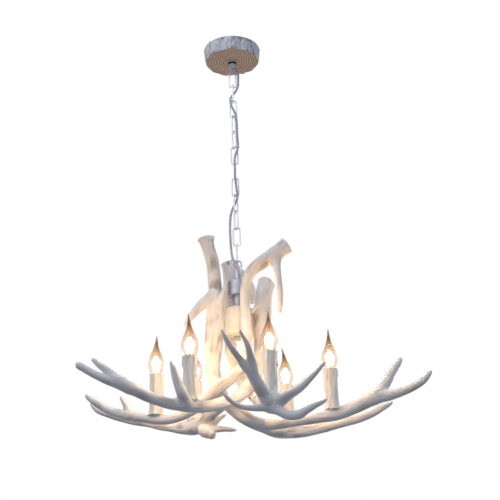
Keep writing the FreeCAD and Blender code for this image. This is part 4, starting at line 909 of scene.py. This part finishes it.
canopy()
cable()
for i, turn in enumerate(CHAIN_TURNS, start=1):
    link = ring_wire(f"link_{i:02d}_wire", LINK_HEIGHT, LINK_WIDTH, LINK_FLAT, LINK_WIRE,
                     FIRST_MIDDLE - PITCH * (i - 1), turn, NICKEL, f"link_{i:02d}", WELD_BEAD)
    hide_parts(f"chain_link_{i:02d}")

for node, material in {
    "ceiling_bracket": ZINC, "threaded_nipple": ZINC, "nipple_lock_nuts": ZINC, "canopy_collar": WHITE_METAL,
    "canopy_loop": LOOP_HOLDER, "terminal_block": BLOCK, "terminal_screws": BRASS, "hub_loop": GREY_METAL,
    "wiring_cup": DARK_METAL, "cable_bushing": BUSHING, "hub_stem": DARK_METAL, "hub_drum": HUB_RESIN,
    "hub_rod": ZINC, "rod_nut_and_washer": HUB_RESIN, "antler_screws": ZINC, "candle_nipples": ZINC,
    **{f"lamp_holder_{i}": HOLDER for i in range(1, 7)},
}.items():
    nodes[node].data.materials.clear()
    nodes[node].data.materials.append(material)


def seen_rays(tree):
    """Is Camera Ray, and whether a ray comes off gloss or through glass."""
    rays = add(tree, "ShaderNodeLightPath").outputs
    return rays["Is Camera Ray"], combine(tree, "MAXIMUM", rays["Is Glossy Ray"], rays["Is Transmission Ray"])


def studio_floor():
    # pale matt floor: near white to the camera, greyer in the light that it throws on the lamp
    material, tree, bsdf, _ = finish("pale_matt_floor", Roughness=0.9)
    camera, mirrored = seen_rays(tree)
    wire(tree, bsdf, Base_Color=mix_colours(tree, camera, srgb("#7f8289"), srgb("#eeedeb")))
    share = combine(tree, "MAXIMUM", mirrored, combine(tree, "MULTIPLY", camera, 0.62))
    glint = add(tree, "ShaderNodeEmission", {"Strength": 0.9}).outputs[0]
    shown = add(tree, "ShaderNodeMixShader", {0: share, 1: bsdf.outputs[0], 2: glint}).outputs[0]
    tree.links.new(shown, tree.nodes["Material Output"].inputs["Surface"])
    reach, level = 12, -1.95
    corners = [(-reach, -reach, level), (reach, -reach, level), (reach, reach, level), (-reach, reach, level)]
    mesh = bpy.data.meshes.new("floor")
    mesh.from_pydata(corners, [], [(0, 1, 2, 3)])
    mesh.materials.append(material)
    floor = bpy.data.objects.new("floor", mesh)
    bpy.context.scene.collection.objects.link(floor)


def studio_sky():
    """Soft light that grows towards the zenith, with plain white where the camera looks."""
    world = bpy.data.worlds.new("studio")
    bpy.context.scene.world = world
    world.use_nodes = True
    tree = world.node_tree
    back = tree.nodes["Background"]
    back.inputs["Color"].default_value = srgb("#d3def5")
    direction = add(tree, "ShaderNodeTexCoord").outputs["Generated"]
    upward = add(tree, "ShaderNodeSeparateXYZ", {0: direction}).outputs["Z"]
    tree.links.new(span(tree, upward, (-0.2, 0.7), (0.05, 0.85)), back.inputs["Strength"])
    white = add(tree, "ShaderNodeBackground", {"Color": (1, 1, 1, 1), "Strength": 1.0}).outputs[0]
    seen = combine(tree, "MAXIMUM", *seen_rays(tree))
    mix = add(tree, "ShaderNodeMixShader", {0: seen, 1: back.outputs[0], 2: white}).outputs[0]
    tree.links.new(mix, tree.nodes["World Output"].inputs["Surface"])


studio_floor()
studio_sky()
key = lamp("key", "AREA", (-0.9, -1.2, 0.7), 10, (1.0, 0.99, 0.97), shape="DISK", size=1.6)
aim(key, (0, 0, -0.8))
fill = lamp("fill", "AREA", (1.9, 1.2, 0.5), 6, (0.97, 0.98, 1.0), shape="DISK", size=1.6)
aim(fill, (0, 0, -0.8))

bpy.context.scene.view_settings.view_transform = "Standard"
